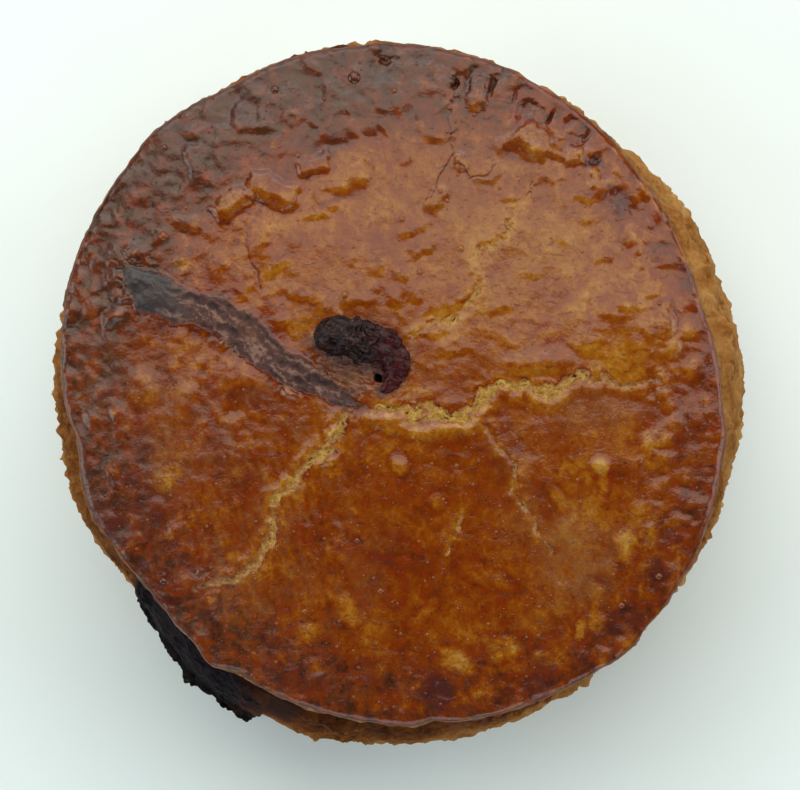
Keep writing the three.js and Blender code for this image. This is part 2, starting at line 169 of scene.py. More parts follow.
# Soft lumps: place, half length, half width, turn, height, how much paler.
LUMPS = (
    (-41.2, 9.9, 1.9, 1.4, 70, 0.35, 0.2), (-37.4, -0.6, 3.2, 2.6, 60, 0.3, 0.2),
    (-30.8, -2.6, 1.7, 3.2, -4, 0.25, 0.12), (-22.6, 1.2, 4.2, 2.4, -38, 0.15, 0.0),
    (-24.8, 6.4, 1.6, 1.0, 40, 0.3, 0.35), (-28.0, 10.2, 3.4, 2.2, -20, 0.45, 0.1),
    (30.8, -12.1, 1.3, 1.3, 0, 0.3, 0.5), (31.2, -14.6, 0.9, 1.5, 10, 0.2, 0.3),
    (16.0, -39.4, 3.0, 1.8, 4, 0.2, 0.36), (9.2, -41.6, 3.0, 2.0, -14, 0.22, 0.34),
    (23.5, -40.6, 2.4, 2.3, 30, 0.22, 0.3), (27.9, -36.6, 1.7, 1.0, 70, 0.2, 0.36),
    (13.6, -46.4, 1.5, 2.4, 25, 0.22, 0.3), (-12.6, -36.9, 2.5, 1.5, 10, 0.2, 0.34),
    (-6.5, -33.4, 2.0, 2.2, 30, 0.18, 0.36), (-5.2, -46.6, 1.7, 1.4, 30, 0.2, 0.32),
    (-34.2, -14.6, 1.7, 1.9, 60, 0.15, 0.3), (-30.5, -30.4, 2.2, 1.4, 30, 0.25, 0.16),
    (-24.0, -34.5, 1.9, 1.4, -20, 0.25, 0.14), (-17.4, -40.2, 2.0, 1.4, 20, 0.25, 0.12),
    (34.5, -24.0, 1.5, 2.4, 10, 0.2, 0.3), (39.0, -9.5, 2.0, 2.2, 0, 0.2, 0.12),
    (1.2, -12.2, 1.3, 1.4, 0, 0.25, 0.34), (6.4, -17.2, 1.4, 1.2, 40, 0.2, 0.2),
    (30.2, -30.6, 1.4, 1.2, 10, 0.2, 0.25), (42.4, -20.2, 1.9, 0.9, 8, 0.25, 0.28),
    (4.6, -34.2, 2.4, 0.8, 38, 0.22, 0.12), (22.0, 3.2, 4.4, 1.8, 6, 0.35, 0.02),
    (24.5, -17.0, 2.2, 1.0, -60, 0.15, 0.16),
    (-8.0, -24.5, 2.4, 1.8, 70, 0.15, 0.12), (13.6, -28.6, 3.6, 1.4, -24, 0.15, 0.18),
    (40.8, 9.0, 1.3, 2.6, 10, 0.3, 0.1), (-45.0, -6.0, 1.2, 2.2, 10, 0.3, 0.1),
    (-1.4, -5.9, 3.2, 1.5, -14, 0.4, 0.2), (7.6, -7.2, 4.8, 1.3, 4, 0.32, 0.15),
    (-8.6, -7.0, 1.0, 1.8, -30, 0.4, 0.3), (-9.6, -11.6, 1.6, 0.8, 20, 0.35, 0.2),
    (-15.0, -1.6, 1.8, 1.0, -20, 0.4, 0.2),
    (37.0, 8.5, 9.0, 8.0, 5, 0.42, 0.0),
)

# Hollows in the lid: place, half length, half width, turn, depth, how much browner.
HOLLOWS = (
    (-22.6, 41.9, 3.4, 1.9, -35, 0.4, 0.3), (-8.5, 36.0, 4.4, 1.5, 14, 0.3, 0.15),
    (30.0, 33.1, 1.4, 0.9, -20, 0.3, 0.4), (34.5, 27.0, 2.8, 1.2, -50, 0.4, 0.3),
    (-1.2, 48.6, 1.1, 0.8, 0, 0.8, 0.6), (9.5, 45.2, 0.5, 0.9, -10, 1.1, 0.8),
    (8.0, 10.2, 4.5, 1.6, 25, 0.25, 0.05),
    (-24.0, -4.5, 1.0, 3.4, -20, 0.25, 0.1), (-2.6, 36.6, 1.6, 1.2, 20, 0.3, 0.2),
)

# Fork marks in the rim: angle, radius, half length, half width, depth.
FORK_MARKS = (
    (71.5, 46.7, 2.1, 0.45, 0.7), (63.6, 45.4, 2.0, 1.5, 0.45), (59.3, 46.2, 1.5, 0.38, 0.75),
    (75.6, 46.2, 1.8, 0.9, 0.3), (56.0, 47.0, 1.6, 0.9, 0.3), (47.9, 44.9, 1.2, 0.9, 0.45),
    (67.0, 46.6, 1.4, 0.4, 0.5), (52.0, 46.4, 1.4, 0.5, 0.4),
)

# Patches of the lid that baked darker (or, negative, paler): place, half length,
# half width, turn, amount.
BROWN_PATCHES = (
    (-30.0, 34.0, 17.0, 9.0, 48, 0.16), (-8.0, 44.0, 14.0, 5.0, 8, 0.12),
    (-43.0, 8.0, 6.0, 17.0, -6, 0.14), (-42.0, -14.0, 5.5, 11.0, 12, 0.14),
    (-30.0, -33.0, 10.0, 6.0, -45, 0.12), (-1.5, -46.0, 12.0, 3.5, 3, 0.12),
    (6.7, -45.5, 3.2, 2.4, 0, 0.3),
    (22.0, -43.8, 3.4, 1.8, 20, 0.3), (28.2, -41.0, 2.2, 1.6, 30, 0.25),
    (34.6, -35.1, 4.0, 2.4, 45, 0.2), (39.1, -27.7, 2.4, 2.2, 0, 0.18),
    (40.9, -23.2, 3.0, 1.7, 20, 0.2), (43.9, -17.3, 1.8, 1.8, 0, 0.16),
    (43.6, -7.2, 1.8, 2.8, 0, 0.16), (45.0, 6.0, 2.2, 6.0, 5, 0.0),
    (40.0, 20.0, 4.0, 3.0, 40, 0.14), (3.0, -28.0, 11.0, 8.0, 0, 0.08),
    (34.5, -19.0, 3.5, 3.0, 0, -0.12), (33.4, 4.5, 6.0, 3.6, 10, -0.06),
    (2.0, -9.0, 6.0, 4.0, 0, -0.04), (-34.0, -14.0, 3.0, 3.0, 0, -0.12),
    (10.0, -36.0, 16.0, 4.5, 4, -0.06), (22.0, 20.0, 16.0, 12.0, 0, -0.08),
    (-12.0, 20.0, 12.0, 8.0, 0, -0.05), (30.0, -12.0, 6.0, 8.0, 0, -0.12),
    (30.0, -25.0, 8.0, 7.0, 0, -0.12), (-9.0, -25.0, 4.0, 4.0, 0, 0.10),
    (-15.5, 31.0, 3.5, 3.5, 0, 0.30), (-19.0, 23.8, 5.0, 3.0, 0, -0.14),
    (33.0, 25.5, 4.0, 2.5, -50, 0.25), (6.0, -39.5, 3.0, 2.0, 0, -0.16),
    (0.0, 46.5, 18.0, 4.5, 0, 0.14), (28.0, 14.0, 22.0, 18.0, 0, -0.07), (36.0, 3.0, 7.0, 4.5, 5, -0.10),
)

# Patches of a deep wine red, and of a dull mauve bloom: place, half length, half
# width, turn, amount.
WINE_PATCHES = (
    (-22.4, 42.4, 4.6, 2.4, -38, 1.0), (-37.6, 31.6, 1.8, 4.4, -38, 0.8),
    (-10.0, 36.2, 5.4, 2.2, 16, 0.7), (-27.5, 42.5, 2.6, 1.4, 20, 0.5),
    (-42.5, 21.0, 1.4, 4.0, -20, 0.6), (-33.0, 18.4, 1.4, 2.8, 0, 0.6),
    (-36.5, -14.5, 3.0, 8.0, 6, 0.5), (-42.8, -20.5, 2.4, 5.0, 25, 0.6),
    (-24.5, -11.0, 3.0, 5.0, 30, 0.35), (-20.5, -2.4, 4.2, 1.6, -14, 0.5),
    (-33.5, -36.0, 6.0, 2.4, -45, 0.4), (-12.5, -44.0, 5.0, 2.0, -10, 0.35),
    (6.8, -45.6, 2.8, 2.4, 0, 0.9), (21.8, -43.8, 2.8, 1.6, 30, 0.6),
    (28.6, -40.2, 1.6, 1.6, 30, 0.5), (33.8, -35.4, 3.4, 2.2, 45, 0.55),
    (39.0, -27.9, 2.2, 2.4, 0, 0.6), (41.2, -22.8, 2.0, 1.2, 20, 0.6),
    (43.4, -16.6, 1.5, 1.6, 0, 0.6), (43.4, -6.2, 1.6, 2.6, 0, 0.4),
    (43.8, 16.0, 2.6, 1.6, -50, 0.5), (33.6, 27.6, 3.4, 1.6, -60, 0.7),
    (29.6, 33.2, 1.5, 1.0, -10, 0.9), (-1.2, 49.0, 1.1, 0.8, 0, 1.0),
    (17.0, -10.0, 3.6, 4.4, 20, 0.3), (-1.5, -24.0, 3.0, 4.0, 10, 0.35),
)
BLOOM_PATCHES = (
    (27.0, -26.0, 7.0, 8.5, 25, 0.9), (20.0, -20.0, 5.0, 6.0, 0, 0.5),
    (-24.0, -32.0, 8.0, 6.0, -35, 0.7), (-34.0, -9.0, 6.0, 10.0, 8, 0.65),
    (-19.0, -22.0, 4.0, 8.0, -25, 0.45), (-4.0, -30.0, 3.0, 6.0, 15, 0.4),
    (30.0, -4.0, 9.0, 4.0, -5, 0.6), (-44.0, 0.0, 4.0, 14.0, 0, 0.5),
    (24.0, -33.0, 5.0, 3.0, 20, 0.4), (-13.0, -30.0, 4.0, 5.0, 0, 0.4),
    (14.0, 27.0, 24.0, 13.0, -15, 0.4),
)

# Thin wrinkled films of dried gravy: place, half length, half width, turn.
FILMS = ((-7.4, 1.4, 4.2, 1.7, -22), (-5.4, -0.9, 2.3, 1.2, -8), (-5.0, 2.8, 4.6, 2.0, -14),
         (-21.6, 7.8, 2.2, 1.1, -38))

# The hole of the vent as place and radius. Then the ovals round it, as place, half
# length, half width and turn: the sunken well, the wet patch, the film that hangs from the
# lump, the char on that film, the lump's shade and the part that has a finer mesh.
VENT_HOLE = (-2.0, 0.8, 0.56)
VENT_WELL = (-1.2, 2.2, 2.6, 1.8, -25)
WET_PATCH = (-6.4, -3.1, 3.2, 1.3, -12)
DRAPE = (-5.2, 4.6, 7.5, 4.2, -14)
CHAR_SKIRT = (-5.6, 4.7, 6.4, 2.7, -14)
LUMP_SHADE = (-4.9, 5.2, 5.4, 3.0, 0)
VENT_FINE = (-3.8, 1.4, 7.5, 5.2, 0)

# A smoother part of the lid, on the upper right: place, half length, half width, turn.
CALM_PATCH = (20.0, 18.0, 15.0, 12.0, -30)

# Charred filling: bulbs as place, height of the middle over the lid and half sizes; and
# the thick ridge that curls from them round the hole, as place and radius.
VENT_MIDDLE = (-4.7, 6.3)
VENT_BULBS = (
    (-7.9, 7.0, 0.4, 3.6, 3.0, 2.5), (-4.6, 6.5, 0.6, 3.4, 3.3, 2.7),
    (-1.6, 5.4, 0.1, 3.2, 3.0, 1.9),
)
VENT_CURL = (
    (-1.4, 5.4, 1.4), (0.2, 4.9, 1.8), (0.8, 3.8, 1.95), (0.85, 2.6, 1.9),
    (0.7, 1.4, 1.7), (0.2, 0.3, 1.4), (-0.6, -0.6, 1.0), (-1.7, -1.2, 0.5),
)

# Glaze bubbles that stand out most: place and radius.
BUBBLES = (
    (-34.2, 22.1, 0.75), (-34.2, 35.4, 0.6), (-5.7, 45.8, 1.05), (-17.6, 44.1, 0.7),
    (0.3, 43.7, 0.55), (-7.0, 13.1, 0.55), (-14.1, 34.0, 0.38), (-10.1, 42.6, 0.38),
    (12.2, 40.1, 0.36), (6.2, 20.6, 0.42), (10.2, 20.0, 0.58), (1.5, 24.4, 0.5),
    (4.1, 16.5, 0.5), (7.2, 28.6, 0.42), (8.2, 27.2, 0.4), (22.3, -10.8, 0.32),
    (9.6, -12.2, 0.4), (34.0, -32.9, 0.5), (39.6, -28.6, 0.55), (-1.7, -30.8, 0.5),
    (-5.2, -23.3, 0.45), (-34.2, -29.4, 0.6), (-13.0, -33.8, 0.45), (39.7, 11.8, 0.4),
    (27.2, 8.7, 0.35), (-27.5, -29.8, 0.5), (-25.9, -30.9, 0.42),
)

# Burnt gravy on the wall: its lower edge as [distance round the wall, height] from the
# middle, and its lumps as angle, height, how far they stand out, half width, half height.
BURNT_AT = 235.0
BURNT_EDGE = (
    (-17.0, 41.0), (-16.0, 33.0), (-12.5, 21.0), (-10.0, 23.0), (-8.0, 11.0), (-6.0, 14.0),
    (-4.5, 4.0), (-1.5, 2.0), (1.5, 9.0), (4.0, 6.0), (6.5, 17.0), (9.0, 20.0), (10.2, 28.0),
    (11.2, 33.0), (12.5, 36.0), (15.0, 38.5), (17.0, 41.0),
)
BURNT_LUMPS = (
    (219.5, 36, 2.1, 2.2, 3.2), (229, 33, 1.6, 3.2, 5.0), (234.5, 24, 1.9, 2.4, 5.5),
    (239, 33, 1.5, 3.6, 5.5), (246.5, 26, 1.4, 2.6, 5.0), (234, 8, 2.2, 3.0, 5.0),
)
BURNT_FROM, BURNT_TO = 214.0, 256.0     # angles between which all of it lies
BURNT_SKIN = 0.9                # what the skin itself takes up of how far a lump stands out

# How many glaze bubbles are tried, and how many burnt crumbs there are.
BUBBLE_COUNT = 1300
CRUMB_COUNT = 330

# The stage: floor and backdrop in millimetres, lights in metres and watts as name, place,
# target, width, height, power and colour, and the point on the lid that the camera faces.
FLOOR_HALF = 1500.0
BACKDROP_RADIUS = 960.0
BACKDROP_HEIGHT = 900.0
BACKDROP_COLOUR = (0.70, 0.80, 0.81)
PIE_MIDDLE = (0.0, 0.0, 0.03)
LIGHTS = (
    ("window", (0.06, 0.306, 0.605), (0.052, 0.0, 0.045), 1.1, 0.56, 4.2, (1.0, 0.92, 0.80)),
    ("far_window", (-0.1, 1.3, 0.75), PIE_MIDDLE, 2.0, 1.0, 11.8, (0.88, 0.98, 1.0)),
    ("right_fill", (1.1, 0.1, 0.45), PIE_MIDDLE, 0.9, 0.7, 4.6, (0.90, 0.99, 1.0)),
    ("left_fill", (-1.1, -0.1, 0.5), PIE_MIDDLE, 0.9, 0.7, 5.8, (0.88, 0.99, 1.0)),
    ("front_fill", (0.0, -1.1, 0.55), PIE_MIDDLE, 1.5, 0.7, 6.0, (0.92, 0.99, 1.0)),
)
ROOM_COLOUR = (0.80, 0.95, 1.0, 1.0)
ROOM_STRENGTH = 0.035
CAMERA_AIM = (1.17, -1.67, 47.5)
CAMERA_SIDE = -45.0             # the side to which the camera leans
SENSOR_WIDTH = 36.0
VIEW_WIDTH = 800 * 0.1487       # what the camera sees of the lid's height, from left to right


# ---- Noise -------------------------------------------------------------------------

def smoothstep(low, high, value):
    """Eased 0 to 1 between two limits, which may fall as well as rise."""
    t = np.clip((value - low) / (high - low), 0.0, 1.0)
    return t * t * (3.0 - 2.0 * t)


def scatter(ix, iy, iz, seed):
    """A repeatable number from 0 to 1 for each whole-number cell."""
    with np.errstate(over="ignore"):
        h = (ix.astype(np.uint32) * np.uint32(73856093)
             ^ iy.astype(np.uint32) * np.uint32(19349663)
             ^ iz.astype(np.uint32) * np.uint32(83492791)
             ^ np.uint32(seed * 2654435 + 97))
        h ^= h >> np.uint32(15)
        h *= np.uint32(2246822519)
        h ^= h >> np.uint32(13)
        h *= np.uint32(3266489917)
        h ^= h >> np.uint32(16)
    return h.astype(np.float64) / 4294967295.0


def noise(x, y, z, seed):
    """Smooth gradient noise, about -1 to 1, one swelling a unit."""
    cell = [np.floor(v).astype(np.int64) for v in (x, y, z)]
    part = [v - c for v, c in zip((x, y, z), cell)]
    ease = [p * p * p * (p * (p * 6 - 15) + 10) for p in part]
    total = 0.0
    for corner in range(8):
        step = [corner >> k & 1 for k in range(3)]
        at = [c + s for c, s in zip(cell, step)]
        slopes = [2 * scatter(*at, seed * 3 + k) - 1 for k in range(3)]
        weight = 1.0
        for k in range(3):
            weight = weight * (ease[k] if step[k] else 1 - ease[k])
        total = total + weight * sum(g * (p - s) for g, p, s in zip(slopes, part, step))
    return 1.6 * total


def cloud(x, y, z, size, seed):
    """Smooth noise through space, with swellings of one size."""
    return noise(x / size, y / size, z / size, seed)


def layered(x, y, z, size, seed, layers=3):
    """Noise of a given size with finer, fainter layers on it."""
    total, share = 0.0, 0.0
    for k in range(layers):
        scale = size / 2 ** k
        total = total + 0.5 ** k * cloud(x, y, z, scale, seed + 31 * k)
        share += 0.5 ** k
    return total / share


def grains(x, y, size, seed, around=0):
    """Distance to the nearest scattered point, in sizes, and that point's own number.

    The pattern repeats after a number of sizes along x where around gives one.
    """
    u, v = x / size, y / size
    iu, iv = np.floor(u).astype(np.int64), np.floor(v).astype(np.int64)
    best, own = np.full(u.shape, 9.0), np.zeros(u.shape)
    flat = np.zeros_like(iu)
    for du in (-1, 0, 1):
        for dv in (-1, 0, 1):
            cu, cv = iu + du, iv + dv
            hu = cu % around if around else cu
            pu = cu + 0.15 + 0.7 * scatter(hu, cv, flat, seed)
            pv = cv + 0.15 + 0.7 * scatter(hu, cv, flat, seed + 1)
            far = np.hypot(u - pu, v - pv)
            nearer = far < best
            best = np.where(nearer, far, best)
            own = np.where(nearer, scatter(hu, cv, flat, seed + 2), own)
    return best, own


def domes(far, reach, power=1.0):
    """1 on each scattered point and 0 from this reach on; rounder where power is less."""
    return np.clip(1 - (far / reach) ** 2, 0, None) ** power


# ---- Outlines and paths --------------------------------------------------------------

def on_circle(at, radius):
    """The place at an angle in degrees and a radius."""
    return radius * math.cos(math.radians(at)), radius * math.sin(math.radians(at))


def swelling(angle, lobes, bumps):
    """How far lobes and bumps move an outline at an angle in radians."""
    out = np.zeros_like(angle)
    for count, size, at in lobes:
        out += size * np.cos(count * (angle - math.radians(at)))
    for size, at, spread in bumps:
        off = np.angle(np.exp(1j * (angle - math.radians(at)))) / math.radians(spread)
        out += size * np.exp(-off * off)
    return out


def jagged(path, seed, rough=0.16, levels=3):
    """A path with finer and finer kinks between its points."""
    draw = np.random.default_rng(seed)
    points = np.array(path, float)
    for _ in range(levels):
        steps = points[1:] - points[:-1]
        across = np.stack([-steps[:, 1], steps[:, 0]], 1)
        middle = (points[1:] + points[:-1]) / 2 + across * draw.uniform(-rough, rough, (len(steps), 1))
        merged = np.empty((len(points) + len(middle), 2))
        merged[0::2], merged[1::2] = points, middle
        points = merged
    return points


def along_path(x, y, path):
    """Distance to a path, the share of the way along it, and the side (+ is left)."""
    path = np.asarray(path, float)
    far, share, side = np.full(x.shape, 1e3), np.zeros(x.shape), np.ones(x.shape)
    reach = 7.0
    near = ((x > path[:, 0].min() - reach) & (x < path[:, 0].max() + reach)
            & (y > path[:, 1].min() - reach) & (y < path[:, 1].max() + reach))
    px, py = x[near], y[near]
    best, where, left = np.full(px.shape, 1e3), np.zeros(px.shape), np.ones(px.shape)
    count = len(path) - 1
    for k in range(count):
        (ax, ay), (bx, by) = path[k], path[k + 1]
        dx, dy = bx - ax, by - ay
        t = np.clip(((px - ax) * dx + (py - ay) * dy) / (dx * dx + dy * dy + 1e-12), 0, 1)
        gap = np.hypot(px - ax - t * dx, py - ay - t * dy)
        nearer = gap < best
        best = np.where(nearer, gap, best)
        where = np.where(nearer, (k + t) / count, where)
        left = np.where(nearer, np.sign(dx * (py - ay) - dy * (px - ax)), left)
    far[near], share[near], side[near] = best, where, left
    return far, share, side


def from_middle(x, y, cx, cy, long, wide, turn, boxy=2.0):
    """0 at a feature's middle and 1 on its edge: an oval, or squarer where boxy is more."""
    c, s = math.cos(math.radians(turn)), math.sin(math.radians(turn))
    u = ((x - cx) * c + (y - cy) * s) / long
    v = ((y - cy) * c - (x - cx) * s) / wide
    return (np.abs(u) ** boxy + np.abs(v) ** boxy) ** (1 / boxy)


# ---- The lid's surface -----------------------------------------------------------------

def ripple(x, y, size, seed, tall=None, level=0.0):
    """Smooth noise over the lid: swellings of a size, or of a width and a height."""
    return noise(x / size, y / (tall or size), np.full(x.shape, level), seed)


def ripples(x, y, size, seed, layers=3):
    """Noise over the lid with finer, fainter layers on it."""
    return layered(x, y, np.zeros_like(x), size, seed, layers)


def rim_noise(angle, count, seed, level=0.0):
    """Noise that closes on itself round the rim, with more swellings where count is more."""
    return noise(count * np.cos(angle), count * np.sin(angle), np.full(angle.shape, level), seed)


def lid_share(x, y):
    """Share of the way from the lid's axis to its edge, and the angle."""
    angle = np.arctan2(y, x)
    edge = LID_RADIUS + swelling(angle, LID_LOBES, LID_BUMPS)
    return np.hypot(x, y) / edge, angle


def dome(share):
    """Height of the lid's smooth top."""
    return LID_EDGE_Z + LID_CROWN_RISE * (1 - np.clip(share, 0, 1.2) ** 2.4)


def flutes_at(angle):
    """How deep the rim was pressed at an angle, 0 to 1."""
    phase = RIM_FLUTES * angle + 6.5 * rim_noise(angle, 3.2, 61)
    strength = np.clip(0.4 + 0.9 * rim_noise(angle, 4, 62, 2.0), 0.05, 1.0)
    return strength * (0.5 + 0.5 * np.cos(phase)) ** 1.4


def rim_relief(inward, angle):
    """Shallow flutes pressed into the rim, its rounded fall and the raised line along it."""
    start = 6.2 + 2.4 * rim_noise(angle, 7, 63)
    window = smoothstep(start, start - 2.6, inward) * smoothstep(0.25, 1.2, inward)
    pressed = 1 + 0.9 * np.exp(-((angle - math.radians(DEEP_FLUTES_AT)) / 0.42) ** 2)
    groove = window * flutes_at(angle) * pressed
    sag = -0.35 * smoothstep(9.0, 2.0, inward) - 0.35 * np.clip(1 - inward / 0.5, 0, 1) ** 2
    lip = 0.05 * (0.8 + 0.9 * rim_noise(angle, 9, 64)) * np.exp(-((inward - 0.6) / 0.4) ** 2)
    return 0.08 * window - 0.24 * groove + sag + lip, groove


def along_across(x, y, cx, cy, turn):
    """Millimetres along a feature and across it, + towards its far side."""
    c, s = math.cos(math.radians(turn)), math.sin(math.radians(turn))
    return (x - cx) * c + (y - cy) * s, (y - cy) * c - (x - cx) * s


def slab(x, y, cx, cy, long, wide, turn):
    """A slab, 0 to 1, that leans up to a broad face on its near side, that face, and a painted shadow along
    its foot.
    """
    u, v = along_across(x, y, cx, cy, turn)
    body = smoothstep(1.2, 0.9, np.abs(u) / long) * smoothstep(1.25, 0.85, v / wide)
    near = np.clip((v / wide + 1.2) / 0.95, 0, 1)
    top = 1 - 0.3 * np.clip(v / wide + 0.2, 0, 1)
    foot = smoothstep(1.25, 0.8, np.abs(u) / long) * np.exp(-((v / wide + 1.3) / 0.16) ** 2)
    return body * near * top, body * np.clip(4 * near * (1 - near), 0, 1), foot


def scarp(x, y, cx, cy, long, face, turn):
    """A step, 0 to 1, that drops to the near side and dies away on the far side, and its face."""
    u, v = along_across(x, y, cx, cy, turn)
    ends = smoothstep(1.2, 0.2, np.abs(u) / long)
    rise = smoothstep(-0.6 * face, 0.6 * face, v)
    return ends * rise * np.exp(-np.clip(v, 0, None) / 1.8), ends * 4 * rise * (1 - rise)


def shingles(x, y, size, seed, edge):
    """Plateaus of about this size that lean back from a steep near edge, about -0.5 to 0.5."""
    climb = 0.35 * (y + 0.25 * x) / size + 0.95 * ripples(x, y, 1.6 * size, seed, 2)
    part = climb - np.floor(climb)
    return smoothstep(0.5 - edge, 0.5 + edge, part) - part


def warped(x, y, sizes, seed):
    """Places moved by noise, as (amount, size) pairs, so that features lose their smooth outlines."""
    dx, dy = 0.0, 0.0
    for number, (amount, size) in enumerate(sizes):
        dx = dx + amount * ripple(x, y, size, seed + number)
        dy = dy + amount * ripple(x, y, size, seed + number, level=7.0)
    return x + dx, y + dy


def lid_zones(x, y):
    """The lid's zones at these places, as shares, and the places moved a little or far."""
    share, angle = lid_share(x, y)
    upper_left = np.clip(np.cos(angle - math.radians(UPPER_LEFT_AT)) * 2.0 - 0.8, 0, 1)
    return SimpleNamespace(
        x=x, y=y, share=share, angle=angle,
        inward=(1 - share) * LID_RADIUS,
        near_rim=smoothstep(0.72, 0.88, share),
        left=smoothstep(-8.0, -30.0, x),
        low=smoothstep(8.0, -12.0, y),
        rightward=np.clip(1.3 * np.cos(angle - math.radians(RIGHT_AT)), 0, 1),
        upper_left=smoothstep(0.62, 0.88, share) * upper_left,
        calm=np.exp(-from_middle(x, y, *CALM_PATCH) ** 2),
        near=warped(x, y, ((0.35, 1.4), (0.22, 0.6)), 5),
        soft=warped(x, y, ((0.8, 4.0), (0.35, 1.5)), 171),
        bent=warped(x, y, ((0.9, 3.4), (0.55, 1.3), (0.25, 0.6)), 181),
        strayed=warped(x, y, ((1.3, 4.5), (0.8, 1.7), (0.35, 0.8)), 191),
    )


def raise_skin(lid):
    """The height of the baked skin: rim, folds, pebbles, plates, threads, knobs and pimples."""
    x, y, near_rim, left, low = lid.x, lid.y, lid.near_rim, lid.left, lid.low
    rim, lid.groove = rim_relief(lid.inward, lid.angle)
    lid.z = dome(lid.share) + rim
    lid.z += 0.24 * ripple(x, y, 17, 11) + 0.11 * ripple(x, y, 8, 12)
    lid.folds = ripples(*lid.near, 3.6, 13)
    lid.z += (0.05 + 0.05 * near_rim + 0.05 * left) * lid.folds
    lid.pebbles = ripples(*lid.near, 1.4, 16)
    pebbly = (0.014 + 0.016 * left + 0.022 * near_rim + 0.004 * low) * (1 - 0.2 * lid.calm)
    lid.z += pebbly * lid.pebbles

    coarse = 0.75 * left * smoothstep(0.40, 0.72, lid.share) + 0.6 * lid.upper_left
    coarse += near_rim * (0.6 - 0.4 * lid.rightward + 0.35 * low)
    lid.coarse = np.clip(coarse * (0.75 + 0.7 * ripple(x, y, 5, 216)), 0, 1)
    lid.clotted = ripples(*lid.near, 1.0, 217)
    lid.z += lid.coarse * (1 - 0.6 * low) * (0.07 * lid.clotted + 0.05 * lid.pebbles)

    lively = 0.55 + 0.2 * near_rim + 0.1 * left + 0.1 * low - 0.12 * lid.calm
    lid.plates = smoothstep(-0.3, 0.45, ripple(x, y, 7, 203)) * shingles(*lid.bent, 5.5, 201, 0.09)
    lid.flakes = smoothstep(-0.1, 0.4, ripple(x, y, 4, 204)) * shingles(*lid.near, 2.3, 205, 0.13)
    lid.z += lively * (0.24 * lid.plates + 0.12 * lid.flakes)

    threads = smoothstep(0.83, 0.93, 1 - np.abs(ripple(*lid.bent, 2.9, 206, 2.2)))
    threads *= smoothstep(-0.1, 0.3, ripple(x, y, 3.2, 207))
    lid.threads = threads * np.clip(0.9 * lid.upper_left + 0.3 * near_rim, 0, 1)
    lid.z -= 0.18 * lid.threads

    far, own = grains(*lid.soft, 3.3, 211)
    patchy = np.clip(0.65 + 0.9 * ripple(x, y, 9, 212), 0.1, 1)
    lid.crowd = smoothstep(0.70, 0.88, lid.share) * patchy
    lid.knobs = lid.crowd * domes(far, 0.62, 1.2) * smoothstep(0.25, 0.7, own)
    lid.z += 0.42 * lid.knobs * (1 - 0.35 * low)
    far, own = grains(*lid.near, 2.1, 213)
    lid.blebs = domes(far, 0.66, 0.9) * smoothstep(0.1, 0.6, own)
    lid.bleb_crowd = np.clip(1.1 * lid.upper_left + 0.7 * left * near_rim, 0, 1)
    lid.bleb_crowd *= np.clip(0.7 + 0.8 * ripple(x, y, 6, 214), 0, 1)
    lid.z += 0.20 * lid.bleb_crowd * lid.blebs
    far, own = grains(*lid.near, 1.7, 15)
    lid.pimples = domes(far, 0.5, 2) * (own > 0.55)
    lid.z += (0.03 + 0.08 * near_rim + 0.05 * left) * lid.pimples


def brown_skin(lid):
    """How brown the skin baked: darker towards the rim and paler on knobs, with painted shade in the rim's
    grooves and a pale edge line that is partly a painted highlight.
    """
    near_rim, left, low = lid.near_rim, lid.left, lid.low
    brown = 0.43 + 0.07 * low + 0.15 * near_rim + 0.12 * lid.upper_left + 0.05 * left * near_rim
    brown += 0.28 * ripples(*lid.strayed, 6.0, 21) + 0.09 * ripples(*lid.near, 2.0, 22)
    brown -= 0.30 * lid.knobs - 0.05 * lid.crowd + 0.13 * near_rim * lid.rightward
    brown -= 0.12 * lid.bleb_crowd * (lid.blebs - 0.3)
    mottle = ripples(*lid.bent, 2.4, 25)
    lid.spots = smoothstep(0.12, 0.42, ripple(*lid.bent, 1.9, 218, 1.7))
    uneven = 0.24 * mottle - 0.20 * lid.clotted - 0.20 * lid.spots + 0.03 + 0.05 * low
    brown += lid.coarse * uneven
    brown += 0.09 * (smoothstep(-0.12, 0.12, mottle) - 0.5) * (0.4 + 0.6 * low)
    # 0.18 * groove: painted shade in the rim's flute grooves.
    brown += 0.18 * lid.groove - 0.10 * lid.pimples * near_rim - 0.08 * lid.folds * (0.5 + near_rim)
    brown -= 0.10 * lid.pebbles * (0.4 + left + near_rim) + 0.14 * lid.plates + 0.10 * lid.flakes
    brown += 0.38 * lid.threads
    # A pale line along the very edge: partly paler raw crust, partly a painted highlight of the cut edge.
    raw_edge_and_highlight = (0.5 + 0.8 * ripple(lid.x, lid.y, 5, 208)) * np.exp(-((lid.inward - 0.35) / 0.3) ** 2)
    lid.brown = brown + 0.12 * smoothstep(2.2, 1.1, lid.inward) - 0.2 * raw_edge_and_highlight


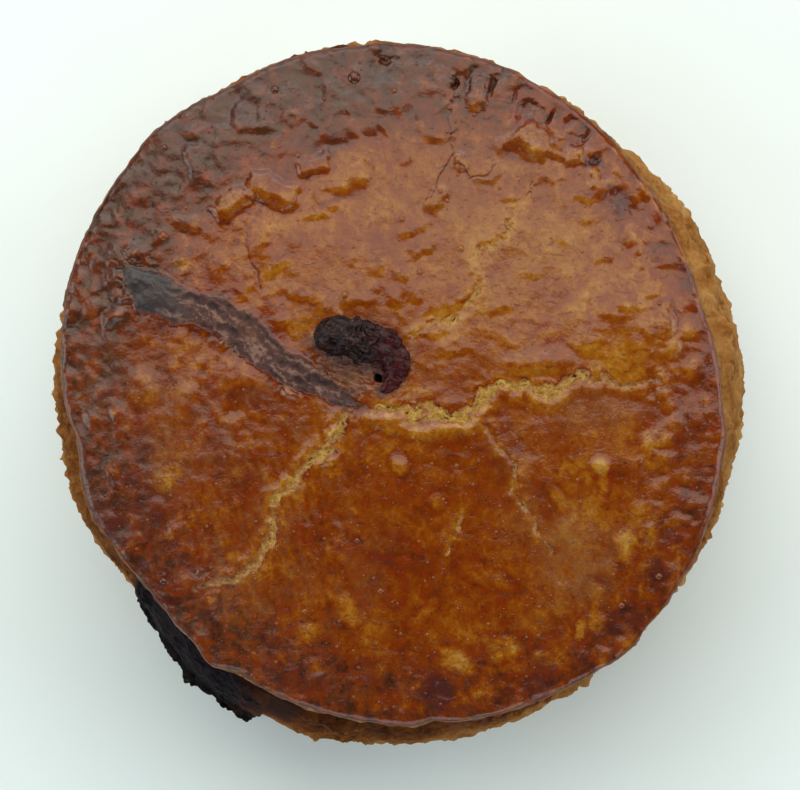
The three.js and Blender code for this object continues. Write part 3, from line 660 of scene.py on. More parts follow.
def place_features(lid):
    """The patches, slabs, steps, lumps, hollows and fork marks that have a place of their own."""
    for *oval, amount in BROWN_PATCHES:
        lid.brown += amount * np.exp(-from_middle(*lid.strayed, *oval) ** 2 * 1.2)
    for *oval, height in LOGS:
        body, face, foot = slab(*lid.bent, *oval)
        lid.z += height * body
        # foot: a painted shadow along the near edge of each slab.
        lid.brown += 0.36 * foot - 0.14 * body + 0.07 * face
    for *line, height, browner in SCARPS:
        body, face = scarp(*lid.bent, *line)
        lid.z += height * body
        lid.brown += (0.8 * browner - 0.20) * face
    for *oval, height, paler in LUMPS:
        away = from_middle(*lid.soft, *oval)
        on_low_side = oval[1] < -14
        lid.z += (0.6 if on_low_side else 1.35) * height * smoothstep(1.35, 0.2, away)
        lid.brown -= 0.85 * paler * smoothstep(1.3, 0.5, away) - 0.10 * np.exp(-((away - 1.4) / 0.2) ** 2)
    for *oval, depth, browner in HOLLOWS:
        body = smoothstep(1.35, 0.2, from_middle(*lid.bent, *oval))
        lid.z -= depth * body
        lid.brown += browner * body
    lid.slot = np.zeros_like(lid.x)
    for at, radius, long, wide, depth in FORK_MARKS:
        middle = on_circle(at, radius)
        body = smoothstep(1.3, 0.2, from_middle(*lid.near, *middle, long, wide, at))
        lid.z -= depth * body
        lid.brown += 0.35 * body * depth
        # slot: the fork slots, which the hole mask paints near-black as painted shade.
        lid.slot = np.maximum(lid.slot, smoothstep(0.35, 0.8, body * depth))


def stain_skin(lid):
    """Wine red stains, dull bloom whose greyer colour is partly a painted sheen, dark umber and the fibrous
    skin on the left of the vent.
    """
    x, y, near_rim, low, upper_left = lid.x, lid.y, lid.near_rim, lid.low, lid.upper_left
    wine, bloom_sheen = np.zeros_like(x), np.zeros_like(x)
    for *oval, amount in WINE_PATCHES:
        away = from_middle(*lid.strayed, *oval)
        wine = np.maximum(wine, min(1.15 * amount, 1.0) * smoothstep(1.25, 0.6, away))
    rim_wine = near_rim * smoothstep(0.05, 0.45, ripples(*lid.strayed, 4.0, 23))
    wine = np.maximum(wine, 0.8 * rim_wine * smoothstep(12.0, -22.0, x))
    for *oval, amount in BLOOM_PATCHES:
        away = from_middle(*lid.strayed, *oval)
        bloom_sheen = np.maximum(bloom_sheen, amount * smoothstep(1.3, 0.3, away))

    wx, wy = lid.near
    slant_x, slant_y = 0.94 * wx + 0.34 * wy, 0.94 * wy - 0.34 * wx
    fibrous = smoothstep(2.0, -14.0, x) * smoothstep(8.0, -2.0, y) * (1 - 0.5 * near_rim)
    fibres = ripples(slant_x / 0.5, slant_y / 2.0, 1.4, 220)
    lid.brown += 0.26 * fibrous * fibres
    lid.z += 0.05 * fibrous * fibres
    dull = smoothstep(0.0, 0.35, ripple(slant_x, slant_y, 1.3, 221, 4))
    bloom_sheen = np.maximum(bloom_sheen, 0.6 * fibrous * dull)
    strokes = ripples(slant_x / 0.55, slant_y / 1.6, 1.9, 24)
    bloom_sheen = np.maximum(bloom_sheen, 0.3 * lid.coarse * low) * (0.75 + 1.3 * strokes)
    lid.bloom_sheen = np.clip(bloom_sheen, 0, 1)

    darts = smoothstep(0.22, 0.45, ripple(*lid.bent, 2.3, 219, 2.0))
    red_zone = np.clip(upper_left + lid.left * near_rim + 0.7 * low * near_rim, 0, 1)
    lid.wine = np.maximum(wine, 0.75 * darts * red_zone * (1 - lid.spots))
    umber = 1.1 * upper_left * (1 - 0.8 * lid.spots) * (1 - 0.6 * darts) + 0.9 * lid.threads
    lid.umber = np.clip(umber, 0, 1)


def open_cracks(lid):
    """Torn cracks with crumb inside, a lip and glaze gone ochre beside them, a painted shadow along their
    left edge, and hairlines.
    """
    x, y = lid.x, lid.y
    wx, wy = lid.near
    lid.crumb, lid.pits, ochre = np.zeros_like(x), np.zeros_like(x), np.zeros_like(x)
    far, own = grains(wx + 0.2 * wy, wy, 0.42, 59)
    crest = domes(far, 0.75) * (0.3 + 0.7 * own)
    # crest: the tops of the crumb's grains, which the crumb colour paints lighter as a painted highlight.
    lid.crest = np.clip(0.45 * crest + 0.3 + 0.5 * ripple(x, y, 0.9, 215), 0, 1)
    crumb_floor = 0.16 * ripple(x, y, 0.9, 52) + 0.16 * (lid.crest - 0.5)
    still = np.zeros_like(x)
    for number, (width, depth, openness, left_lip, right_lip, path) in enumerate(CRACKS):
        kinked = jagged(path, CRACK_SEED + number)
        far, place, side = along_path(x, y, kinked)
        way = place * np.hypot(*np.diff(kinked, axis=0).T).sum()
        ends = np.sqrt(np.clip(np.minimum(0.35 + 9 * place, 2.6 * (1 - place)), 0.03, 1))
        uneven = 0.82 + 1.0 * ripple(way, still, 4.6, 50 + number)
        uneven += 0.5 * ripple(way, side, 1.6, 60 + number, 1.0)
        half = np.clip(0.43 * width * ends * uneven, 0.1, None)
        ragged = far + 0.32 * ripple(x, y, 0.75, 51) + 0.18 * ripple(x, y, 0.3, 55)
        closed = 0.55 - openness
        broken = smoothstep(closed - 0.25, closed + 0.15, ripple(x, y, 2.0, 57, level=3.0))
        inside = smoothstep(1.15, 0.75, ragged / half) * (0.12 + 0.88 * broken)
        slit = smoothstep(0.16, 0.36, ripple(way, side * far, 0.8, 54, 0.34))
        slit *= smoothstep(1.0, 0.5, far / half)
        slit *= smoothstep(-0.1, 0.3, ripple(way, still, 3.5, 58, level=5.0))
        # pits: slits along the crack, which the hole mask paints near-black as painted shade.
        lid.pits = np.maximum(lid.pits, slit * inside)
        lid.z += inside * (-0.25 * depth + crumb_floor) - 0.5 * depth * slit * inside
        lip = np.exp(-((far - 1.5 * half - 0.45) / (0.6 + 0.35 * half)) ** 2) * ends
        raised = np.where(side > 0, left_lip, right_lip) * (0.8 + 0.6 * ripple(place * 11, still, 1.0, 65))
        lid.z += raised * lip * (1 - inside)
        lid.brown -= 0.7 * raised * lip
        # A dark line along the crack's left edge: painted shadow.
        lid.brown += 0.35 * np.exp(-((ragged / half - 1.35) / 0.2) ** 2) * ends * broken * (side > 0)
        fade = 1 - 0.5 * smoothstep(0.5, 1.0, place)
        lid.crumb = np.maximum(lid.crumb, inside * (0.45 + 0.55 * openness) * fade)
        beside = np.exp(-((far / (half + 0.9)) ** 2)) * (1 - inside) * ends
        ochre = np.maximum(ochre, beside * (0.55 + 0.8 * ripple(x, y, 1.3, 56)))
    for number, (width, depth, path) in enumerate(HAIRLINES):
        far, _, _ = along_path(x, y, jagged(path, HAIRLINE_SEED + number, HAIRLINE_ROUGH))
        body = smoothstep(1.6, 0.4, far / width)
        lid.z -= depth * body
        lid.brown += 0.40 * body
    lid.brown -= 0.28 * np.clip(ochre, 0, 1)


def pour_gravy(lid):
    """The trail of dried gravy: a film with strands, threads and hairs that run along it, painted lighter on
    their crests and darker between them.
    """
    x, y = lid.x, lid.y
    far, place, side = along_path(*lid.near, [(a, b) for a, b, _ in TRAIL])
    halves = np.interp(place * (len(TRAIL) - 1), range(len(TRAIL)), [h for _, _, h in TRAIL])
    halves = halves * (0.92 + 0.15 * ripple(place * 14, side, 1.0, 70))
    halves = halves + 0.45 * ripple(x, y, 2.4, 73) + 0.16 * ripple(x, y, 0.8, 76)
    across = far / np.clip(halves, 0.3, None)
    head = smoothstep(0.26, 0.10, place + 0.05 * ripple(x, y, 2, 78))
    gravy = smoothstep(1.12, 0.86, across)
    fringe_shade = smoothstep(1.9, 1.0, across + 0.5 * ripple(x, y, 1.2, 79)) * (1 - gravy)
    way = place * TRAIL_LENGTH + 0.8 * ripple(x, y, 2, 74)
    drift = 1.3 * ripple(way, np.zeros_like(x), 9, 75) + 0.4 * ripple(x, y, 1.6, 80)
    sideways = side * far + drift
    strands = 1 - np.abs(ripple(way, sideways, 8.0, 71, 1.5))
    threads = 1 - np.abs(ripple(way, sideways, 3.2, 72, 0.55))
    hairs = 1 - np.abs(ripple(way, sideways, 1.5, 81, 0.3))
    knots = ripples(x, y, 1.5, 77)
    rough = 1 - 0.75 * head
    edge = 0.12 * np.exp(-((across - 0.8) / 0.2) ** 2)
    lid.z += gravy * (0.30 + 0.35 * head * smoothstep(1.0, 0.2, across) + edge)
    lid.z += gravy * rough * (0.32 * (strands ** 2 - 0.5) + 0.13 * (threads ** 2 - 0.5) + 0.12 * knots)
    lid.z += 0.05 * gravy * rough * (hairs ** 2 - 0.5)
    # fold: lighter on the crests of the strands, threads and hairs and darker between them, as painted
    # highlight and shade.
    fold = 0.70 * strands ** 3 + 0.45 * (threads ** 2 - 0.4) + 0.4 * knots + 0.25 * (hairs ** 2 - 0.5)
    lid.fold = np.clip(fold, 0, 1)
    # A browner fringe round the trail: painted shade along its edges.
    lid.brown += 0.28 * fringe_shade * smoothstep(1.0, 0.7, place)
    lid.gravy, lid.head = gravy, gravy * head


def wrinkle_vent(lid):
    """Round the vent: wet and charred stains, wrinkled films, the draped film and the hole; the hole mask
    also holds painted shade and shadow.
    """
    x, y = lid.x, lid.y
    far, _, _ = along_path(x, y, [(a, b) for a, b, _ in VENT_CURL])
    stain = smoothstep(1.5, 0.7, far + 0.8 * ripple(x, y, 0.9, 94))
    lid.wet = smoothstep(1.25, 0.4, from_middle(*lid.near, *WET_PATCH))
    well = smoothstep(1.2, 0.6, from_middle(*lid.near, *VENT_WELL) + 0.3 * ripple(x, y, 0.8, 95))
    lid.z -= 0.15 * lid.wet + 0.3 * well
    char = np.clip(0.9 * np.maximum.reduce([stain, lid.wet, well]), 0, 1)

    flap = np.zeros_like(x)
    for film in FILMS:
        away = from_middle(*lid.near, *film) + 0.35 * ripple(x, y, 1.1, 97)
        flap = np.maximum(flap, smoothstep(1.2, 0.6, away))
    flap = flap * (1 - 0.7 * char)
    down, athwart = 0.89 * x - 0.45 * y, 0.45 * x + 0.89 * y
    pleats = ripple(down, athwart, 2.6, 93, 0.7) + 0.5 * ripple(x, y, 0.7, 96)
    lid.z += 0.2 * flap + 0.26 * flap * pleats
    drape = smoothstep(1.05, 0.35, from_middle(*lid.near, *DRAPE))
    fibre = ripple(down, athwart, 2.2, 100, 0.5)
    lid.z += 0.9 * drape + 0.22 * smoothstep(0.0, 0.4, drape) * pleats
    lid.z += 0.14 * np.maximum(flap, drape) * fibre

    hx, hy, radius = VENT_HOLE
    away = np.hypot(x - hx + 0.15 * (y - hy), 0.8 * (y - hy)) / radius + 0.28 * ripple(x, y, 0.6, 98)
    hole = smoothstep(1.1, 0.75, away)
    lid.z -= 2.4 * hole
    char = np.maximum(char, 0.7 * smoothstep(2.0, 1.1, away + 0.5 * ripple(x, y, 0.5, 99)))
    skirt = from_middle(*lid.near, *CHAR_SKIRT) + 0.35 * ripple(x, y, 1.1, 82)
    char = np.maximum(char, 0.85 * smoothstep(1.25, 0.85, skirt))
    lid.char = char * np.clip(0.8 - 0.8 * pleats - 0.9 * fibre, 0.15, 1)
    lid.film = flap
    lid.flap = np.clip(flap * (0.7 + 0.6 * pleats + 0.8 * fibre), 0, 1)
    shade = smoothstep(1.3, 0.7, from_middle(x, y, *LUMP_SHADE))
    # The hole mask paints near-black: painted shade down the vent hole and in the fork slots and crack pits,
    # and a painted shadow under the lump.
    lid.hole = np.maximum.reduce([hole, 0.3 * shade * (1 - drape), 0.85 * lid.slot, 0.85 * lid.pits])


def lid_surface(x, y):
    """Height of the lid's top and the masks that colour it, at places in millimetres."""
    lid = lid_zones(x, y)
    for step in (raise_skin, brown_skin, place_features, stain_skin, open_cracks, pour_gravy, wrinkle_vent):
        step(lid)
    masks = {
        "brown": np.clip(lid.brown, 0, 1.1),
        "coarse": np.maximum(lid.coarse, 0.6 * lid.bloom_sheen),
        "crumb": np.clip(lid.crumb * (1 - lid.wet), 0, 1),
        "gravy": lid.gravy * (1 - 0.4 * lid.film),
    }
    for name in ("wine", "umber", "bloom_sheen", "crest", "fold", "head", "char", "flap", "hole"):
        masks[name] = getattr(lid, name)
    return lid.z, masks


# ---- Meshes ----------------------------------------------------------------------------

def ring_disc(radius, step):
    """Evenly spaced points on a disc in rings, its triangles, and the last ring's size."""
    rings = max(2, int(round(radius / step)))
    points, starts, sizes = [np.zeros((1, 2))], [0], [1]
    for k in range(1, rings + 1):
        size = max(6, int(round(2 * math.pi * k)))
        angles = 2 * math.pi * (np.arange(size) + 0.5 * (k % 2)) / size
        starts.append(starts[-1] + sizes[-1])
        sizes.append(size)
        points.append(radius * k / rings * np.stack([np.cos(angles), np.sin(angles)], 1))
    faces = [(0, starts[1] + i, starts[1] + (i + 1) % sizes[1]) for i in range(sizes[1])]
    for k in range(1, rings):
        faces += stitch(starts[k], sizes[k], 0.5 * (k % 2), starts[k + 1], sizes[k + 1], 0.5 * ((k + 1) % 2))
    return np.concatenate(points), np.array(faces), sizes[-1]


def stitch(inner, inner_size, inner_shift, outer, outer_size, outer_shift):
    """Triangles between two rings of different sizes."""
    faces, i, j = [], 0, 0
    while i < inner_size or j < outer_size:
        next_i = (i + 1 + inner_shift) / inner_size
        next_j = (j + 1 + outer_shift) / outer_size
        a, b = inner + i % inner_size, outer + j % outer_size
        if j < outer_size and (i >= inner_size or next_j <= next_i):
            faces.append((a, b, outer + (j + 1) % outer_size))
            j += 1
        else:
            faces.append((a, b, inner + (i + 1) % inner_size))
            i += 1
    return faces


def refine(points, faces, wanted):
    """Splits the edges whose middles are wanted finer, and keeps the mesh closed."""
    edges = np.sort(np.concatenate([faces[:, [0, 1]], faces[:, [1, 2]], faces[:, [2, 0]]]), axis=1)
    edges, back = np.unique(edges, axis=0, return_inverse=True)
    back = back.reshape(-1)
    middle = (points[edges[:, 0]] + points[edges[:, 1]]) / 2
    split = wanted(middle)
    number = np.full(len(edges), -1)
    number[split] = len(points) + np.arange(split.sum())
    points = np.concatenate([points, middle[split]])
    mids = number[back.reshape(3, -1).T]
    made = []
    cut = (mids >= 0).sum(1)
    made.append(faces[cut == 0])
    f, m = faces[cut == 3], mids[cut == 3]
    made += [np.stack([f[:, 0], m[:, 0], m[:, 2]], 1), np.stack([m[:, 0], f[:, 1], m[:, 1]], 1),
             np.stack([m[:, 2], m[:, 1], f[:, 2]], 1), m]
    for k in range(3):
        pick = (cut == 1) & (mids[:, k] >= 0)
        a, b, c = (faces[pick][:, (k + s) % 3] for s in range(3))
        mid = mids[pick][:, k]
        made += [np.stack([a, mid, c], 1), np.stack([mid, b, c], 1)]
        pick = (cut == 2) & (mids[:, k] < 0)
        a, b, c = (faces[pick][:, (k + s) % 3] for s in range(3))
        bc, ca = mids[pick][:, (k + 1) % 3], mids[pick][:, (k + 2) % 3]
        made += [np.stack([a, b, bc], 1), np.stack([a, bc, ca], 1), np.stack([ca, bc, c], 1)]
    return points, np.concatenate(made)


def make_piece(name, points, faces, masks, material, smooth=True):
    """A mesh object from millimetre points, with its masks stored on the points."""
    mesh = bpy.data.meshes.new(name)
    points = np.asarray(points, float) * MM
    faces = np.asarray(faces)
    mesh.vertices.add(len(points))
    mesh.vertices.foreach_set("co", points.ravel())
    corners = faces.shape[1]
    mesh.loops.add(faces.size)
    mesh.loops.foreach_set("vertex_index", faces.ravel().astype(np.int32))
    mesh.polygons.add(len(faces))
    mesh.polygons.foreach_set("loop_start", np.arange(0, faces.size, corners, dtype=np.int32))
    mesh.polygons.foreach_set("use_smooth", np.full(len(faces), smooth))
    mesh.update(calc_edges=True)
    mesh.validate()
    for key, values in masks.items():
        layer = mesh.attributes.new(key, "FLOAT", "POINT")
        layer.data.foreach_set("value", np.asarray(values, np.float32))
    piece = bpy.data.objects.new(name, mesh)
    bpy.context.scene.collection.objects.link(piece)
    mesh.materials.append(material)
    return piece


def grid_faces(rows, columns, closed):
    """Quads of a grid of points in rows; closed joins the last column to the first."""
    wide = columns if closed else columns - 1
    i, j = np.meshgrid(np.arange(rows - 1), np.arange(wide), indexing="ij")
    k = (j + 1) % columns
    return np.stack([i * columns + j, i * columns + k, (i + 1) * columns + k, (i + 1) * columns + j],
                    -1).reshape(-1, 4)


# ---- Materials ---------------------------------------------------------------------------

class Nodes:
    """Short names for the shader nodes that the materials are made of."""

    def __init__(self, name):
        self.material = bpy.data.materials.new(name)
        self.material.use_nodes = True
        self.tree = self.material.node_tree
        self.shader = self.tree.nodes["Principled BSDF"]
        self.place = self.add("ShaderNodeTexCoord").outputs["Object"]

    def add(self, kind, **settings):
        node = self.tree.nodes.new(kind)
        for key, value in settings.items():
            setattr(node, key, value)
        return node

    def feed(self, socket, value):
        if isinstance(value, bpy.types.NodeSocket):
            self.tree.links.new(value, socket)
        else:
            socket.default_value = value

    def mask(self, name):
        return self.add("ShaderNodeAttribute", attribute_name=name).outputs["Fac"]

    def grain(self, size, detail=2.0, roughness=0.5, distortion=0.0, stretch=None):
        """Noise whose swellings are about this many millimetres across."""
        place = self.place
        if stretch:
            mapping = self.add("ShaderNodeMapping")
            mapping.inputs["Scale"].default_value = stretch
            self.feed(mapping.inputs["Vector"], place)
            place = mapping.outputs["Vector"]
        node = self.add("ShaderNodeTexNoise")
        self.feed(node.inputs["Vector"], place)
        node.inputs["Scale"].default_value = 1.0 / (size * MM)
        node.inputs["Detail"].default_value = detail
        node.inputs["Roughness"].default_value = roughness
        node.inputs["Distortion"].default_value = distortion
        return node.outputs["Fac"]

    def cells(self, size, feature="F1"):
        node = self.add("ShaderNodeTexVoronoi", feature=feature)
        self.feed(node.inputs["Vector"], self.place)
        node.inputs["Scale"].default_value = 1.0 / (size * MM)
        return node.outputs["Distance"]

    def math(self, operation, a, b=0.0, clamp=False):
        node = self.add("ShaderNodeMath", operation=operation, use_clamp=clamp)
        self.feed(node.inputs[0], a)
        self.feed(node.inputs[1], b)
        return node.outputs[0]

    def plus(self, a, b, share=1.0):
        return self.math("ADD", a, self.math("MULTIPLY", b, share))

    def spread(self, value, low, high, to_low=0.0, to_high=1.0):
        node = self.add("ShaderNodeMapRange")
        self.feed(node.inputs["Value"], value)
        for key, number in zip(("From Min", "From Max", "To Min", "To Max"), (low, high, to_low, to_high)):
            node.inputs[key].default_value = number
        return node.outputs["Result"]

    def vary(self, low, high, *grain):
        """A grain that runs from low to high."""
        return self.spread(self.grain(*grain), 0.3, 0.7, low, high)

    def ramp(self, value, stops):
        node = self.add("ShaderNodeValToRGB")
        elements = node.color_ramp.elements
        while len(elements) < len(stops):
            elements.new(0.5)
        for element, (position, colour) in zip(elements, stops):
            element.position = position
            element.color = (*tuple(colour)[:3], 1.0)
        self.feed(node.inputs["Fac"], value)
        return node.outputs["Color"]

    def mix(self, share, a, b):
        node = self.add("ShaderNodeMix", data_type="RGBA")
        self.feed(node.inputs["Factor"], share)
        for socket, value in ((node.inputs[6], a), (node.inputs[7], b)):
            self.feed(socket, value if isinstance(value, bpy.types.NodeSocket) else (*tuple(value)[:3], 1.0))
        return node.outputs[2]

    def blend(self, share, a, b):
        node = self.add("ShaderNodeMix", data_type="FLOAT")
        self.feed(node.inputs["Factor"], share)
        self.feed(node.inputs[2], a)
        self.feed(node.inputs[3], b)
        return node.outputs[0]

    def finish(self, colour, roughness, height, depth, strength=1.0):
        """Joins colour, roughness and a fine relief of a depth in millimetres to the shader."""
        self.feed(self.shader.inputs["Base Color"], colour)
        self.feed(self.shader.inputs["Roughness"], roughness)
        bump = self.add("ShaderNodeBump")
        bump.inputs["Strength"].default_value = strength
        bump.inputs["Distance"].default_value = depth * MM
        self.feed(bump.inputs["Height"], height)
        self.feed(self.shader.inputs["Normal"], bump.outputs["Normal"])
        return self.material


def glazed_crust(settings):
    """Egg-glazed pastry: brown by baking, tan and crumbly where torn, dull under gravy."""
    n = Nodes("glazed_crust")
    fine = n.grain(1.3, 5.0, 0.65, 0.8)
    finer = n.grain(0.45, 3.0, 0.6)
    brown = n.math("ADD", n.mask("brown"), n.spread(fine, 0.32, 0.68, -0.14, 0.14))
    speckled = n.spread(n.mask("coarse"), 0.0, 1.0, 0.05, 0.17)
    speckle = n.math("MULTIPLY", n.spread(finer, 0.3, 0.7, -1.0, 1.0), speckled)
    brown = n.math("ADD", brown, speckle, clamp=True)
    skin = n.ramp(brown, ((0.02, settings.pale), (0.22, settings.golden), (0.42, settings.amber),
                          (0.62, settings.deep), (0.82, settings.dark), (1.0, settings.burnt)))
    ochre = n.spread(n.grain(1.9, 5.0, 0.6, 0.5), 0.58, 0.68, 0.0, 0.25)
    skin = n.mix(ochre, skin, (0.215, 0.068, 0.0040))
    ruddy = n.spread(n.grain(3.1, 5.0, 0.62, 1.2), 0.47, 0.60, 0.0, 0.7)
    ruddy = n.math("MULTIPLY", ruddy, n.spread(n.mask("brown"), 0.36, 0.58))
    skin = n.mix(ruddy, skin, (0.190, 0.0215, 0.0010))
    blotch = n.spread(n.grain(2.4, 4.0, 0.65, 1.2), 0.40, 0.60)
    # Bloom: a dull patch on the glaze, mixed to a greyer colour that is partly a painted sheen.
    bloom_sheen = n.math("MULTIPLY", n.mask("bloom_sheen"), n.blend(blotch, 0.35, 0.95))
    skin = n.mix(bloom_sheen, skin, settings.bloom_sheen)
    wine = n.math("MULTIPLY", n.mask("wine"), n.blend(blotch, 0.95, 0.35))
    skin = n.mix(wine, skin, settings.wine)
    flecks = n.spread(n.grain(1.1, 5.0, 0.65, 1.0, (0.5, 1.0, 1.0)), 0.60, 0.66, 0.0, 0.6)
    skin = n.mix(flecks, skin, settings.dark)
    specks = n.spread(n.grain(0.8, 3.0, 0.6), 0.64, 0.70, 0.0, 0.5)
    skin = n.mix(specks, skin, settings.burnt)
    cloudy = n.spread(n.grain(1.7, 5.0, 0.65, 0.8), 0.42, 0.58, 0.35, 0.95)
    skin = n.mix(n.math("MULTIPLY", n.mask("umber"), cloudy), skin, settings.umber)

    # The crumb's tone follows the same grain as its bump: the pale end of its ramp is a painted highlight
    # and the dark end painted shade, over the crumb's own tan.
    grain = n.grain(0.34, 3.0, 0.7)
    tone = n.plus(n.math("MULTIPLY", n.mask("crest"), 0.26), grain, 0.80)
    torn = n.ramp(tone, ((0.26, (0.11, 0.038, 0.006)), (0.38, (0.25, 0.106, 0.012)),
                         (0.54, settings.crumb), (0.72, (0.60, 0.40, 0.105))))
    colour = n.mix(n.mask("crumb"), skin, torn)
    raw = n.ramp(n.grain(1.6, 5.0, 0.65, 0.6),
                 ((0.34, (0.062, 0.020, 0.004)), (0.50, (0.155, 0.060, 0.013)),
                  (0.66, (0.300, 0.145, 0.042))))
    colour = n.mix(n.mask("raw"), colour, raw)

    # Gravy film: lighter on the folds' crests and darker between them, as painted highlight and shade.
    tone = n.math("ADD", n.mask("fold"), n.vary(-0.28, 0.28, 0.7, 5.0, 0.7), clamp=True)
    film = n.ramp(tone, ((0.10, (0.016, 0.0040, 0.0040)), (0.34, (0.048, 0.016, 0.0125)),
                         (0.62, settings.gravy), (0.95, (0.200, 0.108, 0.076))))
    film = n.mix(n.math("MULTIPLY", n.mask("head"), 0.85), film, (0.019, 0.017, 0.019))
    colour = n.mix(n.mask("gravy"), colour, film)
    flap = n.ramp(n.grain(0.6, 4.0, 0.7),
                  ((0.36, (0.018, 0.007, 0.004)), (0.50, (0.070, 0.028, 0.010)),
                   (0.70, (0.23, 0.13, 0.052))))
    colour = n.mix(n.math("MULTIPLY", n.mask("flap"), 0.8), colour, flap)
    wet = n.ramp(n.grain(0.8, 3.0, 0.6), ((0.32, (0.012, 0.003, 0.004)), (0.7, (0.080, 0.012, 0.010))))
    colour = n.mix(n.mask("char"), colour, wet)
    # Near-black from the hole mask: painted shade in the vent hole, fork slots and crack pits, and painted
    # shadow under the lump.
    colour = n.mix(n.mask("hole"), colour, (0.008, 0.003, 0.002))

    sheen = n.vary(settings.gloss - 0.03, settings.gloss + 0.04, 2.5, 2.0)
    rough = n.blend(n.mask("coarse"), sheen, 0.19)
    rough = n.blend(n.math("MULTIPLY", bloom_sheen, 0.6), rough, 0.36)
    rough = n.blend(n.math("MULTIPLY", wine, 0.6), rough, 0.40)
    for name, roughness in (("flap", 0.55), ("gravy", 0.85), ("head", 0.42), ("crumb", 0.9),
                            ("char", 0.45), ("hole", 0.95), ("side", 0.9)):
        rough = n.blend(n.mask(name), rough, roughness)
    relief = n.plus(n.math("MULTIPLY", finer, 0.4), n.grain(1.0, 4.0, 0.6), 0.8)
    relief = n.math("SUBTRACT", relief, n.math("MULTIPLY", flecks, 0.35))
    relief = n.math("MULTIPLY", relief, n.spread(n.mask("coarse"), 0.0, 1.0, 0.9, 2.2))
    relief = n.plus(relief, n.math("MULTIPLY", grain, n.mask("crumb")), 2.2)
    return n.finish(colour, rough, relief, 0.055)


def baked_crust(settings):
    """The wall: dull, rough, browned unevenly and darker at the foot; its brown mask also holds painted
    shade under the lid and painted light on its right and front.
    """
    n = Nodes("baked_crust")
    brown = n.math("ADD", n.mask("brown"), n.vary(-0.12, 0.15, 2.6, 5.0, 0.62, 1.0))
    brown = n.math("ADD", brown, n.vary(-0.08, 0.09, 0.6, 3.0, 0.6))
    flour = n.spread(n.grain(0.5, 3.0, 0.7), 0.62, 0.76, 0.0, -0.14)
    brown = n.math("ADD", brown, flour, clamp=True)
    colour = n.ramp(brown, ((0.0, (0.54, 0.33, 0.120)), (0.25, settings.pale), (0.5, settings.brown),
                            (0.75, settings.dark), (1.0, (0.036, 0.0095, 0.0035))))
    specks = n.spread(n.grain(1.0, 4.0, 0.65, 0.8), 0.64, 0.70, 0.0, 0.5)
    colour = n.mix(specks, colour, settings.dark)
    colour = n.mix(n.mask("char"), colour, (0.032, 0.010, 0.006))
    relief = n.plus(n.grain(0.5, 4.0, 0.7), n.cells(0.8), 0.6)
    rough = n.spread(n.grain(2.2, 3.0), 0.35, 0.65, 0.66, 0.88)
    rough = n.blend(n.mask("char"), rough, 0.8)
    n.shader.inputs["Specular IOR Level"].default_value = 0.04
    return n.finish(colour, rough, relief, 0.12)


def charred_filling(settings):
    """Wrinkled, nearly black filling with a faint wet shine and reddish hollows."""
    n = Nodes("charred_filling")
    tone = n.math("ADD", n.mask("crest"), n.vary(-0.3, 0.3, 0.6, 4.0, 0.65), clamp=True)
    colour = n.ramp(tone, ((0.0, (0.005, 0.0014, 0.0014)), (0.5, settings.char),
                           (0.82, (0.042, 0.015, 0.014)), (1.0, (0.12, 0.062, 0.052))))
    wine = n.ramp(n.grain(0.7, 3.0), ((0.35, (0.016, 0.002, 0.003)), (0.7, (0.085, 0.007, 0.010))))
    colour = n.mix(n.mask("red"), colour, wine)
    relief = n.plus(n.grain(0.5, 4.0, 0.7, 1.0), n.cells(0.45), 0.5)
    n.shader.inputs["Specular IOR Level"].default_value = 0.2
    return n.finish(colour, n.vary(0.11, 0.24, 0.9), relief, 0.07)


def burnt_crust(settings):
    """Burnt gravy: a smooth dark skin above, black and crumbly below."""
    n = Nodes("burnt_gravy")
    tone = n.math("ADD", n.mask("crest"), n.vary(-0.3, 0.3, 0.7, 4.0, 0.7), clamp=True)
    colour = n.ramp(tone, ((0.0, (0.002, 0.0015, 0.0015)), (0.5, settings.burnt),
                           (0.8, (0.015, 0.013, 0.009)), (1.0, (0.045, 0.034, 0.020))))
    skin = n.ramp(n.grain(1.1, 5.0, 0.7, 0.6),
                  ((0.40, (0.0040, 0.0022, 0.0040)), (0.55, (0.0085, 0.0050, 0.0075)),
                   (0.70, (0.0300, 0.0210, 0.0230))))
    colour = n.mix(n.mask("smooth"), colour, skin)
    colour = n.mix(n.mask("rust"), colour, (0.075, 0.022, 0.008))
    relief = n.plus(n.grain(0.45, 4.0, 0.7), n.cells(0.6), 0.7)
    rough = n.blend(n.mask("smooth"), n.vary(0.6, 0.9, 0.8), 0.42)
    n.shader.inputs["Specular IOR Level"].default_value = 0.01
    return n.finish(colour, rough, relief, 0.16)


def glaze_bubble(settings):
    """Shiny amber bubbles in the glaze."""
    n = Nodes("glaze_bubble")
    colour = n.ramp(n.mask("brown"), ((0.1, settings.golden), (0.5, settings.amber), (0.9, settings.dark)))
    return n.finish(colour, n.vary(0.08, 0.2, 0.5), n.grain(0.3, 2.0), 0.02)


# ---- Settings ------------------------------------------------------------------------------

def colour_setting(name, description, default):
    return bpy.props.FloatVectorProperty(name=name, description=description, default=default,
                                         subtype="COLOR", size=3, min=0.0, max=1.0)


def length_setting(name, description, default, low, high):
    return bpy.props.FloatProperty(name=name, description=description, default=default,
                                   min=low, max=high, subtype="DISTANCE", unit="LENGTH")


